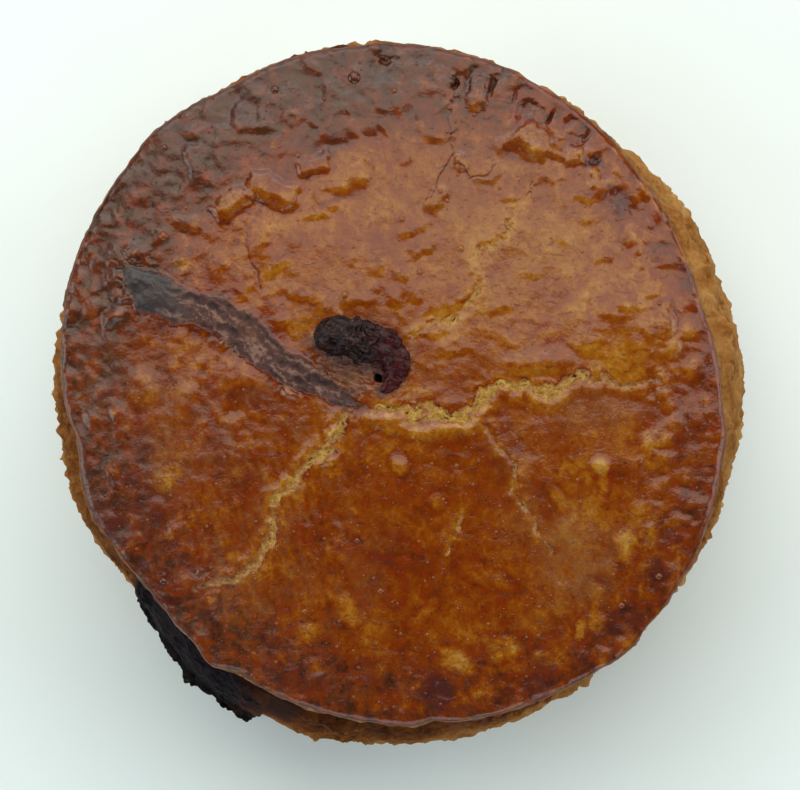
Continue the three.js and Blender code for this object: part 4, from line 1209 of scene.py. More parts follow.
class PieLidSettings(bpy.types.PropertyGroup):
    step: length_setting("Step", "Spacing of the points on the lid", 0.00044, 0.0002, 0.003)
    gloss: bpy.props.FloatProperty(
        name="Glaze roughness", description="Roughness of the egg glaze", default=0.09,
        min=0.0, max=1.0, subtype="FACTOR")
    pale: colour_setting("Pale", "Least baked pastry", (0.38, 0.185, 0.028))
    golden: colour_setting("Golden", "Lightly baked pastry", (0.290, 0.098, 0.0055))
    amber: colour_setting("Amber", "Well baked pastry", (0.208, 0.044, 0.0014))
    deep: colour_setting("Deep", "Deeply baked pastry", (0.140, 0.0225, 0.0012))
    dark: colour_setting("Dark", "Dark pastry", (0.080, 0.0145, 0.0040))
    burnt: colour_setting("Burnt", "Darkest pastry", (0.030, 0.0085, 0.0050))
    umber: colour_setting("Umber", "Dark brown of the overbaked rim", (0.064, 0.021, 0.0064))
    wine: colour_setting("Wine", "Wine red stains in the glaze", (0.058, 0.0095, 0.0085))
    # Greyer colour of the bloom: partly a painted sheen on the glaze.
    bloom_sheen: colour_setting("Bloom", "Dull mauve bloom on the glaze", (0.200, 0.075, 0.021))
    crumb: colour_setting("Crumb", "Torn pastry in the cracks", (0.385, 0.214, 0.024))
    gravy: colour_setting("Gravy", "Dried gravy on the lid", (0.072, 0.027, 0.022))


class PieCaseSettings(bpy.types.PropertyGroup):
    step: length_setting("Step", "Spacing of the points on the wall", 0.00045, 0.0002, 0.003)
    roughness: length_setting("Crag height", "Height of the crags on the wall", 0.0007, 0.0, 0.0015)
    pale: colour_setting("Pale", "Least baked crust", (0.40, 0.200, 0.060))
    brown: colour_setting("Brown", "Baked crust", (0.265, 0.103, 0.023))
    dark: colour_setting("Dark", "Darkest crust", (0.120, 0.033, 0.0055))


class PieGravySettings(bpy.types.PropertyGroup):
    step: length_setting("Step", "Spacing of the points on the burnt gravy", 0.00022, 0.0001, 0.002)
    char: colour_setting("Char", "Charred filling", (0.0170, 0.0048, 0.0042))
    burnt: colour_setting("Burnt", "Burnt gravy", (0.0060, 0.0045, 0.0036))


class PieStageSettings(bpy.types.PropertyGroup):
    distance: length_setting("Camera distance", "From the camera to the lid", 0.452, 0.1, 3.0)
    lean: bpy.props.FloatProperty(
        name="Camera lean", description="How far the camera leans from straight above",
        default=math.radians(2.5), min=0.0, max=1.5, subtype="ANGLE", unit="ROTATION")
    floor: colour_setting("Floor", "Colour of the floor", (0.885, 0.985, 1.0))


# ---- Pieces --------------------------------------------------------------------------------

def lid_wanted_finer(level):
    """Where the lid's mesh is split once more at a level."""
    paths = [(jagged(crack[-1], CRACK_SEED + k), crack[0]) for k, crack in enumerate(CRACKS)]
    paths += [(jagged(line[-1], HAIRLINE_SEED + k, HAIRLINE_ROUGH), 0.3) for k, line in enumerate(HAIRLINES)]
    trail = [(a, b) for a, b, _ in TRAIL]

    def wanted(middle):
        x, y = middle[:, 0], middle[:, 1]
        found = np.zeros(len(middle), bool)
        for path, width in paths:
            far, _, _ = along_path(x, y, path)
            found |= far < (width * 0.75 + 0.5 if level == 0 else width * 0.6)
        found |= from_middle(x, y, *VENT_FINE) < 1
        if level == 0:
            far, _, _ = along_path(x, y, trail)
            found |= far < 3.9
            for hx, hy, long, wide, turn, depth, _ in HOLLOWS:
                if depth > 0.7:
                    found |= from_middle(x, y, hx, hy, 2.2 * long, 2.2 * wide, turn) < 1
            for at, radius, long, wide, _ in FORK_MARKS:
                middle_of_mark = on_circle(at, radius)
                found |= from_middle(x, y, *middle_of_mark, 1.4 * long, 2.5 * wide, at) < 1
        return found
    return wanted


def lid_mesh(step):
    """The lid's points, triangles and masks: top, cut edge and underside."""
    flat, faces, last = ring_disc(LID_RADIUS, step)
    rim = np.arange(len(flat) - last, len(flat))
    for level in range(2):
        flat, faces = refine(flat, faces, lid_wanted_finer(level))
    angle = np.arctan2(flat[:, 1], flat[:, 0])
    stretch = 1 + swelling(angle, LID_LOBES, LID_BUMPS) / LID_RADIUS
    x, y = flat[:, 0] * stretch, flat[:, 1] * stretch
    z, masks = lid_surface(x, y)

    points = [np.stack([x, y, z], 1)]
    total = len(points[0])
    edge = points[0][rim]
    ex, ey, ez = edge.T
    groove = flutes_at(np.arctan2(ey, ex))
    under = LID_UNDER_Z + 0.35 * ripple(ex, ey, 4, 35) - 0.2 * groove
    round_over = np.clip(0.24 + 0.4 * ripple(ex, ey, 6, 36), 0.05, 1)
    rows, downs = [rim], np.linspace(0, 1, 19)[1:] ** 1.2
    for down in downs:
        height = ez + (under - ez) * down
        out = round_over * math.sqrt(1 - (1 - min(down / 0.35, 1)) ** 2)
        out = out - 1.2 * float(smoothstep(0.5, 1.0, down)) - 0.45 * groove * math.sin(math.pi * down)
        rough = 0.30 * layered(ex, ey, height, 1.7, 33) + 0.55 * layered(ex, ey, 1.5 * height, 5.0, 38)
        out = out + (rough + 0.12) * math.sin(math.pi * down ** 0.6)
        push = 1 + out / np.hypot(ex, ey)
        points.append(np.stack([ex * push, ey * push, height], 1))
        rows.append(np.arange(total, total + last))
        total += last
    points.append(np.array([[0.0, 0.0, LID_UNDER_Z]]))
    sides = []
    for upper, lower in zip(rows, rows[1:]):
        a, b = upper, np.roll(upper, -1)
        c, d = lower, np.roll(lower, -1)
        sides += [np.stack([a, c, b], 1), np.stack([b, c, d], 1)]
    bottom = np.stack([rows[-1], np.full(last, total), np.roll(rows[-1], -1)], 1)
    points = np.concatenate(points)
    extra = len(points) - len(x)
    sx, sy, sz = points[-extra:].T
    down = np.append(np.repeat(downs, last), 1.0)
    patchy = layered(sx, sy, sz, 3.5, 34)
    side = {
        "brown": np.clip(0.66 + 0.30 * patchy + 0.15 * np.append(np.tile(groove, len(downs)), 0), 0, 1),
        "side": np.full(extra, 1.0),
        "raw": smoothstep(-0.35, 0.2, down + 0.6 * layered(sx, sy, 2 * sz, 5.0, 37)),
    }
    masks["raw"] = masks["side"] = np.zeros(len(x))
    for key in masks:
        masks[key] = np.concatenate([masks[key], side.get(key, np.zeros(extra))])
    return points, np.concatenate([faces, *sides, bottom]), masks


def bubble_mesh():
    """Small domes of glaze: the ones that stand out, and many fine ones."""
    draw = np.random.default_rng(7)
    places = list(BUBBLES)
    while len(places) < BUBBLE_COUNT:
        radius, angle = LID_RADIUS * math.sqrt(draw.uniform(0.0, 0.94)), draw.uniform(0, 2 * math.pi)
        x, y = radius * math.cos(angle), radius * math.sin(angle)
        crowd = 0.25 + 0.75 * (y < 0) + 0.6 * (radius > 38)
        if draw.uniform(0, 1.6) < crowd:
            places.append((x, y, 0.09 + 0.22 * draw.uniform(0, 1) ** 3))
    rows, columns = 4, 10
    rise = np.linspace(0, math.pi / 2, rows + 1)[1:]
    turn = 2 * math.pi * np.arange(columns) / columns
    at = np.array([(x, y) for x, y, _ in places])
    ground, masks = lid_surface(at[:, 0], at[:, 1])
    share, _ = lid_share(at[:, 0], at[:, 1])
    blocked = np.maximum.reduce([1.0 * (share > 0.955), masks["crumb"], masks["gravy"], masks["char"],
                                 masks["hole"], masks["flap"]])
    points, faces, brown, total = [], [], [], 0
    shape = grid_faces(rows, columns, True)
    split = np.concatenate([shape[:, [2, 1, 0]], shape[:, [3, 2, 0]]])
    for number, (x, y, radius) in enumerate(places):
        if blocked[number] > 0.15:
            continue
        ring = radius * np.sin(rise)[:, None]
        height = radius * 0.7 * np.cos(rise)[:, None] - 0.12 * radius
        px = x + ring * np.cos(turn)
        py = y + ring * np.sin(turn)
        top = ground[number]
        points.append(np.array([[x, y, top + 0.58 * radius]]))
        points.append(np.stack([px, py, np.broadcast_to(top + height, px.shape)], -1).reshape(-1, 3))
        cap = [(total, total + 1 + j, total + 1 + (j + 1) % columns) for j in range(columns)]
        faces.append(np.concatenate([np.array(cap), split + total + 1]))
        brown += [masks["brown"][number]] * (1 + rows * columns)
        total += 1 + rows * columns
    return np.concatenate(points), np.concatenate(faces), {"brown": np.array(brown)}


def wall_radius(z):
    """How far the wall stands out at a height, before lobes and crags."""
    up = np.clip((z - CASE_WIDEST_Z) / (SEAM_Z - CASE_WIDEST_Z), 0, 1)
    down = np.clip((CASE_WIDEST_Z - z) / CASE_WIDEST_Z, 0, 1)
    return (CASE_RADIUS - (CASE_RADIUS - CASE_SHOULDER_RADIUS) * up ** 2.2
            - (CASE_RADIUS - CASE_BASE_RADIUS) * down ** 2.6)


def wall_relief(angle, z, crag):
    """Relief of the crust in millimetres, and its crests, cracks and blisters for colouring."""
    x, y, lap = WALL_ARC * np.cos(angle), WALL_ARC * np.sin(angle), angle / (2 * math.pi)
    warp = 0.35 * cloud(x, y, z, 2, 101)
    drift = 0.5 * cloud(x, y, z, 6, 116)
    mood = 0.25 + 0.9 * smoothstep(-0.4, 0.5, noise(x / 11, y / 11, z / 8, 110))
    far, own = grains(166 * lap + warp, z / 2.0 + warp, 1.0, 102, 166)
    nubs = np.clip(1 - far / (0.5 + 0.3 * own), 0, None) ** 1.2 * (0.2 + own) * (own > 0.35) * mood
    far, own = grains(370 * lap, z / 0.9, 1.0, 103, 370)
    grit = domes(far, 0.7) * own
    far, own = grains(60 * lap + drift + warp / 3, z / 5.5 + drift, 1.0, 111, 60)
    blisters = domes(far, 0.22 + 0.3 * own, 1.3) * smoothstep(0.45, 0.8, own)
    slump = noise(x / 14, y / 14, z / 5.0 + 2 * drift, 113)
    crack = 1 - np.abs(noise(x / 5.5 + 1.6 * warp, y / 5.5 + drift, z / 4.2 + 1.6 * warp, 114))
    crack = smoothstep(0.935, 0.985, crack) * smoothstep(-0.05, 0.3, cloud(x, y, z, 9, 115))
    waves = layered(x, y, 1.3 * z, 15.0, 104)
    fine = layered(x, y, z, 1.3, 105)
    pits = smoothstep(0.3, 0.62, noise(x / 2.4, y / 2.4, z / 1.7, 106))
    crest = 0.8 * nubs + 0.25 * grit + 0.3 * fine - 0.5 * pits
    relief = 0.75 * waves + 0.4 * slump + 0.55 * blisters - 0.4 * crack
    return relief - 0.4 + crag * (1.5 * crest - 0.35), crest, crack, blisters


def case_mesh(step, crag):
    """The case's points, quads and masks: foot, wall and shoulder."""
    foot = [(FOOT_RADIUS * t, 0.0) for t in np.linspace(0.02, 1.0, 14)[:-1]]
    bend = [(FOOT_RADIUS + (float(wall_radius(FOOT_HEIGHT)) - FOOT_RADIUS) * math.sin(a),
             FOOT_HEIGHT * (1 - math.cos(a))) for a in np.linspace(0, math.pi / 2, 12)]
    heights = np.arange(FOOT_HEIGHT + step, SEAM_Z, step)
    wall = [(float(wall_radius(h)), h) for h in heights]
    top = [(CASE_SHOULDER_RADIUS - 0.4, SEAM_Z), (46.0, SEAM_Z), (30.0, SEAM_Z), (0.5, SEAM_Z)]
    profile = np.array(foot + bend + wall + top)
    columns = int(2 * math.pi * CASE_RADIUS / step)
    angle = 2 * math.pi * np.arange(columns) / columns - math.pi
    radius, theta = np.meshgrid(profile[:, 0], angle, indexing="ij")
    z = np.repeat(profile[:, 1][:, None], columns, 1)
    relief, crest, crack, blisters = wall_relief(theta, z, crag)
    flare = smoothstep(36.5, 40.5, z) * (1.2 + 1.2 * noise(theta * 8, z / 6, np.zeros_like(z), 117))
    turned = np.degrees(theta) % 360
    buried = smoothstep(21.0, 17.0, np.abs(turned - BURNT_AT)) * smoothstep(1.0, 8.0, z)
    relief = (relief + np.clip(flare, 0, 2.0)) * (1 - 0.85 * buried) - 0.5 * buried
    relief = relief + swelling(theta, (), WALL_BUMPS)
    on_wall = smoothstep(0.3, 3.0, z) * smoothstep(SEAM_Z, SEAM_Z - 1.2, z)
    shape = swelling(theta, CASE_LOBES, CASE_BUMPS) * smoothstep(5.0, 30.0, radius)
    radius = radius + shape + relief * on_wall
    x, y = radius * np.cos(theta), radius * np.sin(theta)
    under = (z < 0.01) & (radius < FOOT_RADIUS)
    z = np.where(under, 0.18 * np.clip(layered(x, y, z, 9.0, 107) + 0.1, 0, 1), z)
    brown = 0.44 + 0.24 * layered(x, y, z, 12.0, 108) - 0.15 * np.clip(crest, -0.5, 1)
    brown += 0.08 * layered(x, y, z, 2.2, 118) + 0.30 * crack + 0.14 * blisters
    # Paler upper wall on the right: painted light on the side the light falls on.
    brown -= 0.17 * np.exp(-(np.degrees(theta - math.radians(12)) / 42) ** 2) * smoothstep(16.0, 26.0, z)
    # Darker towards the top under the lid's edge: painted shade, deepest away from the lit right side.
    shade_side = 1 - 0.75 * np.exp(-(((turned + 180) % 360 - 195) / 28) ** 2)
    sunny = np.exp(-(((turned + 180) % 360 - 200) / 45) ** 2)
    brown += (0.08 + 0.30 * shade_side * (1 - 0.8 * sunny)) * smoothstep(29.0, 38.0, z)
    brown += 0.12 * smoothstep(8.0, 1.0, z)
    near_burn = np.exp(-((turned - 250) / 26) ** 2)
    low_front = np.exp(-((turned - 275) / 40) ** 2)
    # low_front paints the front of the wall paler: painted light that lifts its shade.
    brown += 0.12 * near_burn - 0.10 * low_front - 0.10 * np.exp(-((turned - 190) / 22) ** 2)
    # char: dark near the top of the wall round the burnt gravy, partly burnt gravy and partly painted shade
    # in the seam under the lid.
    stain = np.abs(turned - BURNT_AT) + 3.0 * layered(x, y, z, 5.0, 109)
    char = smoothstep(20.5, 17.5, stain) * smoothstep(33.5, 37.0, z)
    points = np.stack([x, y, z], -1).reshape(-1, 3)
    masks = {"brown": np.clip(brown, 0, 1).ravel(), "char": char.ravel()}
    return points, grid_faces(len(profile), columns, True), masks


def burnt_mesh(step):
    """Burnt gravy: a smooth skin from the seam down to the bulge, crumbs below it."""
    angle = np.radians(np.arange(BURNT_FROM, BURNT_TO, math.degrees(step / CASE_RADIUS)))
    height = np.arange(0.5, SEAM_Z - 0.05, step)
    theta, z = np.meshgrid(angle, height)
    arc = WALL_ARC * (theta - math.radians(BURNT_AT))
    x, y = WALL_ARC * np.cos(theta), WALL_ARC * np.sin(theta)
    base = wall_radius(z) + swelling(theta, CASE_LOBES, CASE_BUMPS)
    warp_x = arc + 0.9 * cloud(x, y, z, 1.4, 121)
    warp_z = z + 1.6 * cloud(x, y, z, 1.6, 122)
    edge = np.interp(warp_x, [a for a, _ in BURNT_EDGE], [h for _, h in BURNT_EDGE])
    cover = smoothstep(-0.5, 0.9, warp_z - edge) * (np.abs(warp_x) < 17.4)
    smooth = smoothstep(29.0, 32.5, z + 1.6 * cloud(x, y, z, 3, 127))
    far, own = grains(warp_x, warp_z, 1.7, 123)
    clods = domes(far, 0.8, 0.6) * (0.35 + 0.9 * own)
    far, own = grains(arc + 0.3 * clods, z, 0.8, 124)
    grit = domes(far, 0.75) * own
    crumbly = 0.75 + 0.55 * layered(x, y, z, 4.5, 125) + 0.8 * clods + 0.35 * grit
    skin = 0.60 + 0.4 * layered(x, y, z, 4.0, 128) + 0.28 * clods
    lump = 0.0
    for at, up, stand, wide, tall in BURNT_LUMPS:
        away = np.hypot(WALL_ARC * (theta - math.radians(at)) / wide, (z - up) / tall)
        knobbly = 0.75 + 0.45 * clods + 0.2 * grit
        lump = lump + (stand - BURNT_SKIN) * smoothstep(1.15, 0.3, away) * knobbly
    thick = crumbly + (skin - crumbly) * smooth + lump * (1 - 0.55 * smooth)
    thick = thick + 0.5 * np.exp(-((z - 30.8) / 0.8) ** 2) * smoothstep(-14.0, -4.0, arc)
    thick = thick - 0.35 - 0.75 * smoothstep(-1.0, -6.0, arc) - 0.35 * np.exp(-((arc - 5) / 3) ** 2)
    thick = thick - 1.2 * smoothstep(11.0, 13.5, arc)
    out = np.where(cover > 0, np.maximum(thick, -0.4) * cover, 0) - 0.9 * (1 - cover)
    out = out * smoothstep(SEAM_Z + 0.1, SEAM_Z - 0.8, z)
    radius = base + out
    points = np.stack([radius * np.cos(theta), radius * np.sin(theta), z], -1).reshape(-1, 3)
    faces = grid_faces(*theta.shape, False)
    keep = (cover.ravel()[faces] > 0.01).any(1)
    crest = np.clip(0.15 + 0.45 * clods + 0.4 * grit, 0, 1)
    rust = smoothstep(6.0, 13.0, arc) * smoothstep(0.0, 0.6, cloud(x, y, z, 3, 126) + 0.45)
    masks = {"crest": crest.ravel(), "rust": (0.8 * rust).ravel(), "smooth": (0.9 * smooth).ravel()}
    used, renumbered = np.unique(faces[keep], return_inverse=True)
    return points[used], renumbered.reshape(-1, 4), {k: v[used] for k, v in masks.items()}


def vent_bulbs_mesh():
    """The heap of charred filling: bulbs blended into one folded mass on the lid."""
    cx, cy = VENT_MIDDLE
    rows, columns = 190, 300
    lift = np.linspace(math.pi / 2, -0.45, rows)
    ring = 2 * math.pi * np.arange(columns) / columns
    up, around = np.meshgrid(lift, ring, indexing="ij")
    way = np.stack([np.cos(up) * np.cos(around), np.cos(up) * np.sin(around), np.sin(up)])
    reach, sharp = 0.0, 5.0
    for bx, by, bz, half_x, half_y, half_z in VENT_BULBS:
        half = np.array([half_x, half_y, half_z])[:, None, None]
        start = -np.array([bx - cx, by - cy, bz])[:, None, None] / half
        step = way / half
        a, b = (step * step).sum(0), (step * start).sum(0)
        c = (start * start).sum(0) - 1
        hit = (-b + np.sqrt(np.clip(b * b - a * c, 0, None))) / a
        reach = reach + np.exp(sharp * np.clip(hit, 0, None))
    reach = np.log(reach) / sharp - math.log(len(VENT_BULBS)) / sharp * 0.6
    x, y, z = way * reach
    swirl = 1.1 * cloud(x, y, z, 2.6, 142)
    folds = 1 - np.abs(noise((x + swirl) / 2.0, (y - swirl) / 1.5, z / 1.7, 143))
    knots = layered(x, y, z, 2.2, 144)
    small = 1 - np.abs(cloud(x + 0.4 * swirl, y, z, 0.7, 145))
    crest = 0.55 * folds ** 3 + 0.3 * small ** 3 + 0.3 * knots
    reach = reach + 0.75 * (folds ** 2 - 0.55) + 0.35 * knots + 0.10 * (small ** 3 - 0.4)
    x, y, z = way * reach
    px, py = cx + x, cy + y
    ground, _ = lid_surface(px.ravel(), py.ravel())
    middle = float(lid_surface(np.array([cx]), np.array([cy]))[0][0])
    pz = np.maximum(middle - 0.2 + z, ground.reshape(px.shape) - 0.35)
    points = np.stack([px, py, pz], -1).reshape(-1, 3)
    red = smoothstep(0.5, 4.0, x + 0.8 * knots) * (1 - np.clip(crest, 0, 1))
    faces = grid_faces(rows, columns, True)[:, ::-1]
    return points, faces, {"crest": np.clip(crest - 0.1, 0, 1).ravel(), "red": np.clip(red, 0, 1).ravel()}


def vent_curl_mesh():
    """The thick ridge that curls from the bulbs round the hole, sunk into the lid."""
    spine = np.array([(a, b) for a, b, _ in VENT_CURL], float)
    rows, columns = 200, 64
    place = np.linspace(0, len(spine) - 1, rows)
    for _ in range(2):
        middle = (spine[1:] + spine[:-1]) / 2
        spine[1:-1] = (spine[1:-1] + (middle[1:] + middle[:-1]) / 2) / 2
    cx = np.interp(place, range(len(spine)), spine[:, 0])
    cy = np.interp(place, range(len(spine)), spine[:, 1])
    radius = np.interp(place, range(len(spine)), [r for _, _, r in VENT_CURL])
    radius = radius * np.sqrt(np.clip(np.minimum(place, place[-1] - place) * 2.5, 0.02, 1))
    ahead = np.stack([np.gradient(cx), np.gradient(cy)])
    ahead /= np.hypot(*ahead)
    turn = 2 * math.pi * np.arange(columns) / columns
    side = np.cos(turn)[None, :]
    rise = np.sin(turn)[None, :]
    base, _ = lid_surface(cx, cy)
    base = np.convolve(np.pad(base, 15, "edge"), np.ones(31) / 31, "valid")
    x0 = cx[:, None] - ahead[1][:, None] * radius[:, None] * side
    y0 = cy[:, None] + ahead[0][:, None] * radius[:, None] * side
    z0 = base[:, None] + radius[:, None] * rise * 0.65 + 0.1
    swirl = 0.5 * cloud(x0, y0, z0, 1.3, 151)
    folds = 1 - np.abs(cloud(x0 + swirl, y0 + swirl, z0, 1.1, 152))
    small = 1 - np.abs(cloud(x0, y0, z0, 0.6, 153))
    crest = 0.6 * folds ** 3 + 0.4 * small ** 3
    swell = 1 + 0.20 * (folds ** 2 - 0.5) + 0.06 * (small ** 2 - 0.5) + 0.3 * swirl
    x = cx[:, None] + (x0 - cx[:, None]) * swell
    y = cy[:, None] + (y0 - cy[:, None]) * swell
    z = base[:, None] + (z0 - base[:, None]) * swell
    points = np.stack([x, y, z], -1).reshape(-1, 3)
    red = np.clip(0.55 + 0.45 * smoothstep(0.5, 3.0, place)[:, None] - 0.15 * crest, 0, 1)
    return points, grid_faces(rows, columns, True), {"crest": crest.ravel(), "red": red.ravel()}


def vent_lump_mesh():
    """The charred filling as one mesh: the bulbs and the curl."""
    points, faces, masks = vent_bulbs_mesh()
    more_points, more_faces, more_masks = vent_curl_mesh()
    faces = np.concatenate([faces, more_faces + len(points)])
    masks = {key: np.concatenate([values, more_masks[key]]) for key, values in masks.items()}
    return np.concatenate([points, more_points]), faces, masks


def crumb_mesh():
    """Loose-looking burnt crumbs, each sunk into the burnt gravy."""
    draw = np.random.default_rng(11)
    ball, shape = ball_mesh()
    points, faces, crest, total = [], [], [], 0
    while len(points) < CRUMB_COUNT:
        arc = draw.normal(0.0, 8.5)
        up = 30.5 - abs(draw.normal(0.0, 9.0))
        low = np.interp(arc, [a for a, _ in BURNT_EDGE], [h for _, h in BURNT_EDGE])
        if abs(arc) > 17 or up < max(low, 1.0):
            continue
        at = math.radians(BURNT_AT) + arc / WALL_ARC
        size = 0.22 + 1.1 * draw.uniform(0, 1) ** 3.5
        angle, height = np.array([at]), np.array([up])
        stand = float((wall_radius(height) + swelling(angle, CASE_LOBES, CASE_BUMPS))[0])
        stand += 0.35 + draw.uniform(-0.2, 0.6) - 0.3 * size - 0.7 * float(smoothstep(-1.0, -6.0, arc))
        for lump_at, lump_up, lump_stand, wide, tall in BURNT_LUMPS:
            away = math.hypot(WALL_ARC * (at - math.radians(lump_at)) / wide, (up - lump_up) / tall)
            stand += max(0.0, lump_stand - BURNT_SKIN) * max(0.0, 1 - away) * 0.9
        squash = draw.uniform(0.55, 1.25, 3) * size
        turn = np.linalg.qr(draw.normal(0, 1, (3, 3)))[0]
        rough = 1 + 0.35 * noise(ball[:, 0] * 1.4 + 9 * total, ball[:, 1] * 1.4, ball[:, 2] * 1.4, 161)
        body = (ball * rough[:, None] * squash) @ turn
        middle = np.array([stand * math.cos(at), stand * math.sin(at), up])
        points.append(body + middle)
        faces.append(shape + total)
        crest.append(np.full(len(ball), draw.uniform(0.0, 0.75)))
        total += len(ball)
    return np.concatenate(points), np.concatenate(faces), {"crest": np.concatenate(crest)}


def ball_mesh():
    """A unit ball of 162 points: an icosahedron split twice."""
    g = (1 + math.sqrt(5)) / 2
    points = np.array([(-1, g, 0), (1, g, 0), (-1, -g, 0), (1, -g, 0), (0, -1, g), (0, 1, g),
                       (0, -1, -g), (0, 1, -g), (g, 0, -1), (g, 0, 1), (-g, 0, -1), (-g, 0, 1)], float)
    faces = np.array([(0, 11, 5), (0, 5, 1), (0, 1, 7), (0, 7, 10), (0, 10, 11), (1, 5, 9), (5, 11, 4),
                      (11, 10, 2), (10, 7, 6), (7, 1, 8), (3, 9, 4), (3, 4, 2), (3, 2, 6), (3, 6, 8),
                      (3, 8, 9), (4, 9, 5), (2, 4, 11), (6, 2, 10), (8, 6, 7), (9, 8, 1)])
    for _ in range(2):
        points, faces = refine(points, faces, lambda middle: np.ones(len(middle), bool))
        points = points / np.linalg.norm(points, axis=1, keepdims=True)
    return points, faces


class PIE_OT_lid(bpy.types.Operator):
    """Adds the glazed lid with its cracks, dried gravy and glaze bubbles"""
    bl_idname = "pie.lid"
    bl_label = "Add Lid"

    def execute(self, context):
        settings = context.scene.pie_lid
        points, faces, masks = lid_mesh(settings.step / MM)
        lid = make_piece("glazed_lid", points, faces, masks, glazed_crust(settings))
        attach(lid, "root")
        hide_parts("pastry_lid")
        points, faces, masks = bubble_mesh()
        bubbles = make_piece("glaze_bubbles", points, faces, masks, glaze_bubble(settings))
        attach(bubbles, "root")
        return {"FINISHED"}


class PIE_OT_case(bpy.types.Operator):
    """Adds the bow-sided pastry case"""
    bl_idname = "pie.case"
    bl_label = "Add Case"

    def execute(self, context):
        settings = context.scene.pie_case
        points, faces, masks = case_mesh(settings.step / MM, settings.roughness / MM)
        case = make_piece("crust_case", points, faces, masks, baked_crust(settings))
        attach(case, "root")
        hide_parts("pastry_case")
        return {"FINISHED"}


class PIE_OT_vent_filling(bpy.types.Operator):
    """Adds the charred lump of filling beside the vent"""
    bl_idname = "pie.vent_filling"
    bl_label = "Add Vent Filling"

    def execute(self, context):
        points, faces, masks = vent_lump_mesh()
        lump = make_piece("charred_lump", points, faces, masks, charred_filling(context.scene.pie_gravy))
        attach(lump, "root")
        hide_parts("vent_filling")
        return {"FINISHED"}


class PIE_OT_burnt_gravy(bpy.types.Operator):
    """Adds the burnt gravy on the wall under the lid's edge"""
    bl_idname = "pie.burnt_gravy"
    bl_label = "Add Burnt Gravy"

    def execute(self, context):
        settings = context.scene.pie_gravy
        points, faces, masks = burnt_mesh(settings.step / MM)
        burnt = make_piece("burnt_crust", points, faces, masks, burnt_crust(settings))
        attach(burnt, "root")
        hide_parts("burnt_gravy")
        points, faces, masks = crumb_mesh()
        crumbs = make_piece("burnt_crumbs", points, faces, masks, burnt.data.materials[0])
        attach(crumbs, "root")
        return {"FINISHED"}


def area_light(name, place, target, width, height, watts, colour):
    """A soft rectangular light that faces a point; sizes in metres."""
    data = bpy.data.lights.new(name, "AREA")
    data.shape = "RECTANGLE"
    data.size, data.size_y = width, height
    data.energy = watts
    data.color = colour
    light = bpy.data.objects.new(name, data)
    way = Vector(target) - Vector(place)
    light.rotation_euler = way.to_track_quat("-Z", "Y").to_euler()
    light.location = place
    bpy.context.scene.collection.objects.link(light)


def add_floor(colour):
    """A wide, dull floor, very slightly uneven in tone."""
    n = Nodes("stage_floor")
    tone = n.add("ShaderNodeHueSaturation")
    tone.inputs["Color"].default_value = (*colour, 1.0)
    n.feed(tone.inputs["Value"], n.vary(0.97, 1.0, 60.0, 2.0))
    n.feed(n.shader.inputs["Base Color"], tone.outputs["Color"])
    n.shader.inputs["Roughness"].default_value = 0.9
    n.shader.inputs["Specular IOR Level"].default_value = 0.1
    corners = [(FLOOR_HALF * x, FLOOR_HALF * y, 0) for x, y in ((-1, -1), (1, -1), (1, 1), (-1, 1))]
    floor = make_piece("floor", corners, np.array([[0, 1, 2, 3]]), {}, n.material, False)
    floor.location.z = -0.0002


def add_backdrop():
    """A pale wall round the floor that shows to the camera alone and gives no light."""
    n = Nodes("stage_backdrop")
    up = n.add("ShaderNodeSeparateXYZ")
    n.feed(up.inputs["Vector"], n.place)
    upward = n.spread(up.outputs["Z"], 0.0, BACKDROP_HEIGHT * MM)
    shade = n.mix(upward, BACKDROP_COLOUR, [0.8 * part for part in BACKDROP_COLOUR])
    n.shader.inputs["Base Color"].default_value = (0.0, 0.0, 0.0, 1.0)
    n.feed(n.shader.inputs["Emission Color"], shade)
    n.shader.inputs["Emission Strength"].default_value = 1.0
    columns = 96
    turn = np.tile(2 * math.pi * np.arange(columns) / columns, 2)
    x, y = BACKDROP_RADIUS * np.cos(turn), BACKDROP_RADIUS * np.sin(turn)
    points = np.stack([x, y, np.repeat([0.0, BACKDROP_HEIGHT], columns)], 1)
    wall = make_piece("backdrop", points, grid_faces(2, columns, True), {}, n.material)
    for rays in ("diffuse", "glossy", "transmission", "volume_scatter", "shadow"):
        setattr(wall, "visible_" + rays, False)


def add_camera(scene, distance, lean):
    """A camera nearly straight above the lid."""
    side = math.radians(CAMERA_SIDE)
    back = Vector((math.sin(lean) * math.cos(side), math.sin(lean) * math.sin(side), math.cos(lean)))
    right = Vector((0, 1, 0)).cross(back).normalized()
    above = back.cross(right).normalized()
    data = bpy.data.cameras.new("camera")
    data.sensor_width = SENSOR_WIDTH
    data.lens = SENSOR_WIDTH * distance / (VIEW_WIDTH * MM)
    camera = bpy.data.objects.new("camera", data)
    turn = Matrix((right, above, back)).transposed().to_4x4()
    camera.matrix_world = Matrix.Translation(Vector(CAMERA_AIM) * MM + back * distance) @ turn
    scene.collection.objects.link(camera)
    scene.camera = camera


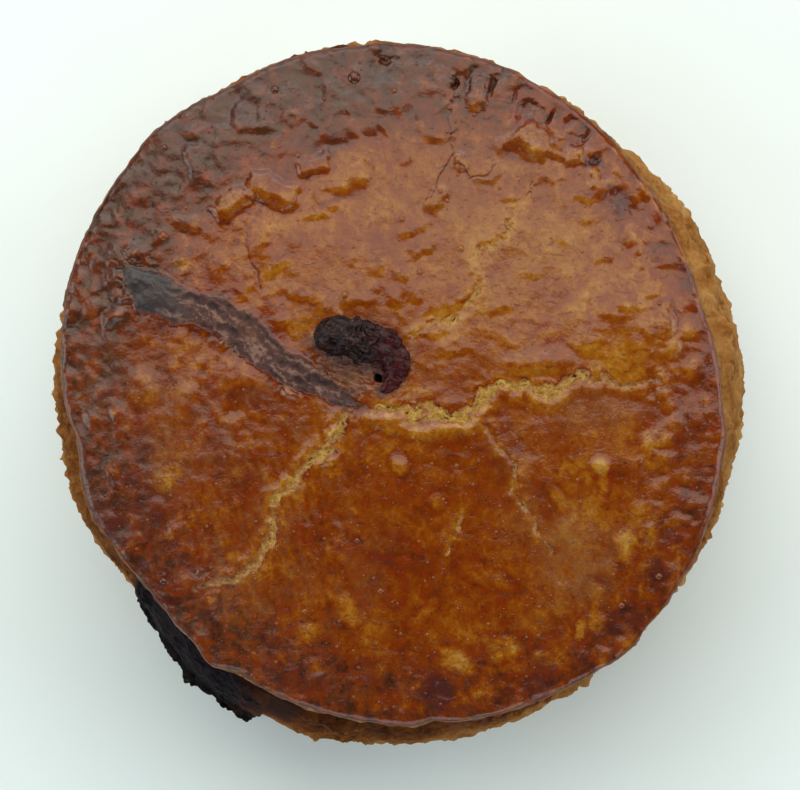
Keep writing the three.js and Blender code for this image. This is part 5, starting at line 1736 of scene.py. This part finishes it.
class PIE_OT_stage(bpy.types.Operator):
    """Adds the floor, the lights and the camera"""
    bl_idname = "pie.stage"
    bl_label = "Add Stage"

    def execute(self, context):
        scene = context.scene
        settings = scene.pie_stage
        add_floor(settings.floor)
        add_backdrop()
        for light in LIGHTS:
            area_light(*light)
        scene.world = bpy.data.worlds.new("room")
        scene.world.use_nodes = True
        room = scene.world.node_tree.nodes["Background"]
        room.inputs["Color"].default_value = ROOM_COLOUR
        room.inputs["Strength"].default_value = ROOM_STRENGTH
        scene.view_settings.view_transform = "Standard"
        scene.view_settings.look = "None"
        add_camera(scene, settings.distance, settings.lean)
        return {"FINISHED"}


class PIE_PT_panel(bpy.types.Panel):
    """Lists the pie's pieces and their settings"""
    bl_label = "Pork Pie"
    bl_idname = "PIE_PT_panel"
    bl_space_type = "VIEW_3D"
    bl_region_type = "UI"
    bl_category = "Pork Pie"

    def draw(self, context):
        scene = context.scene
        for operator, group in (("pie.case", scene.pie_case), ("pie.lid", scene.pie_lid),
                                ("pie.vent_filling", scene.pie_gravy), ("pie.burnt_gravy", scene.pie_gravy),
                                ("pie.stage", scene.pie_stage)):
            box = self.layout.box()
            box.operator(operator)
            for key in group.__annotations__:
                box.prop(group, key)


GROUPS = {
    "pie_lid": PieLidSettings,
    "pie_case": PieCaseSettings,
    "pie_gravy": PieGravySettings,
    "pie_stage": PieStageSettings,
}
OPERATORS = (PIE_OT_case, PIE_OT_lid, PIE_OT_vent_filling, PIE_OT_burnt_gravy, PIE_OT_stage)


def register():
    for cls in (*GROUPS.values(), *OPERATORS, PIE_PT_panel):
        bpy.utils.register_class(cls)
    for name, group in GROUPS.items():
        setattr(bpy.types.Scene, name, bpy.props.PointerProperty(type=group))


def unregister():
    for name in GROUPS:
        delattr(bpy.types.Scene, name)
    for cls in reversed((*GROUPS.values(), *OPERATORS, PIE_PT_panel)):
        bpy.utils.unregister_class(cls)


def main():
    register()
    bpy.ops.pie.case()
    bpy.ops.pie.lid()
    bpy.ops.pie.vent_filling()
    bpy.ops.pie.burnt_gravy()
    bpy.ops.pie.stage()


if __name__ == "__main__":
    main()
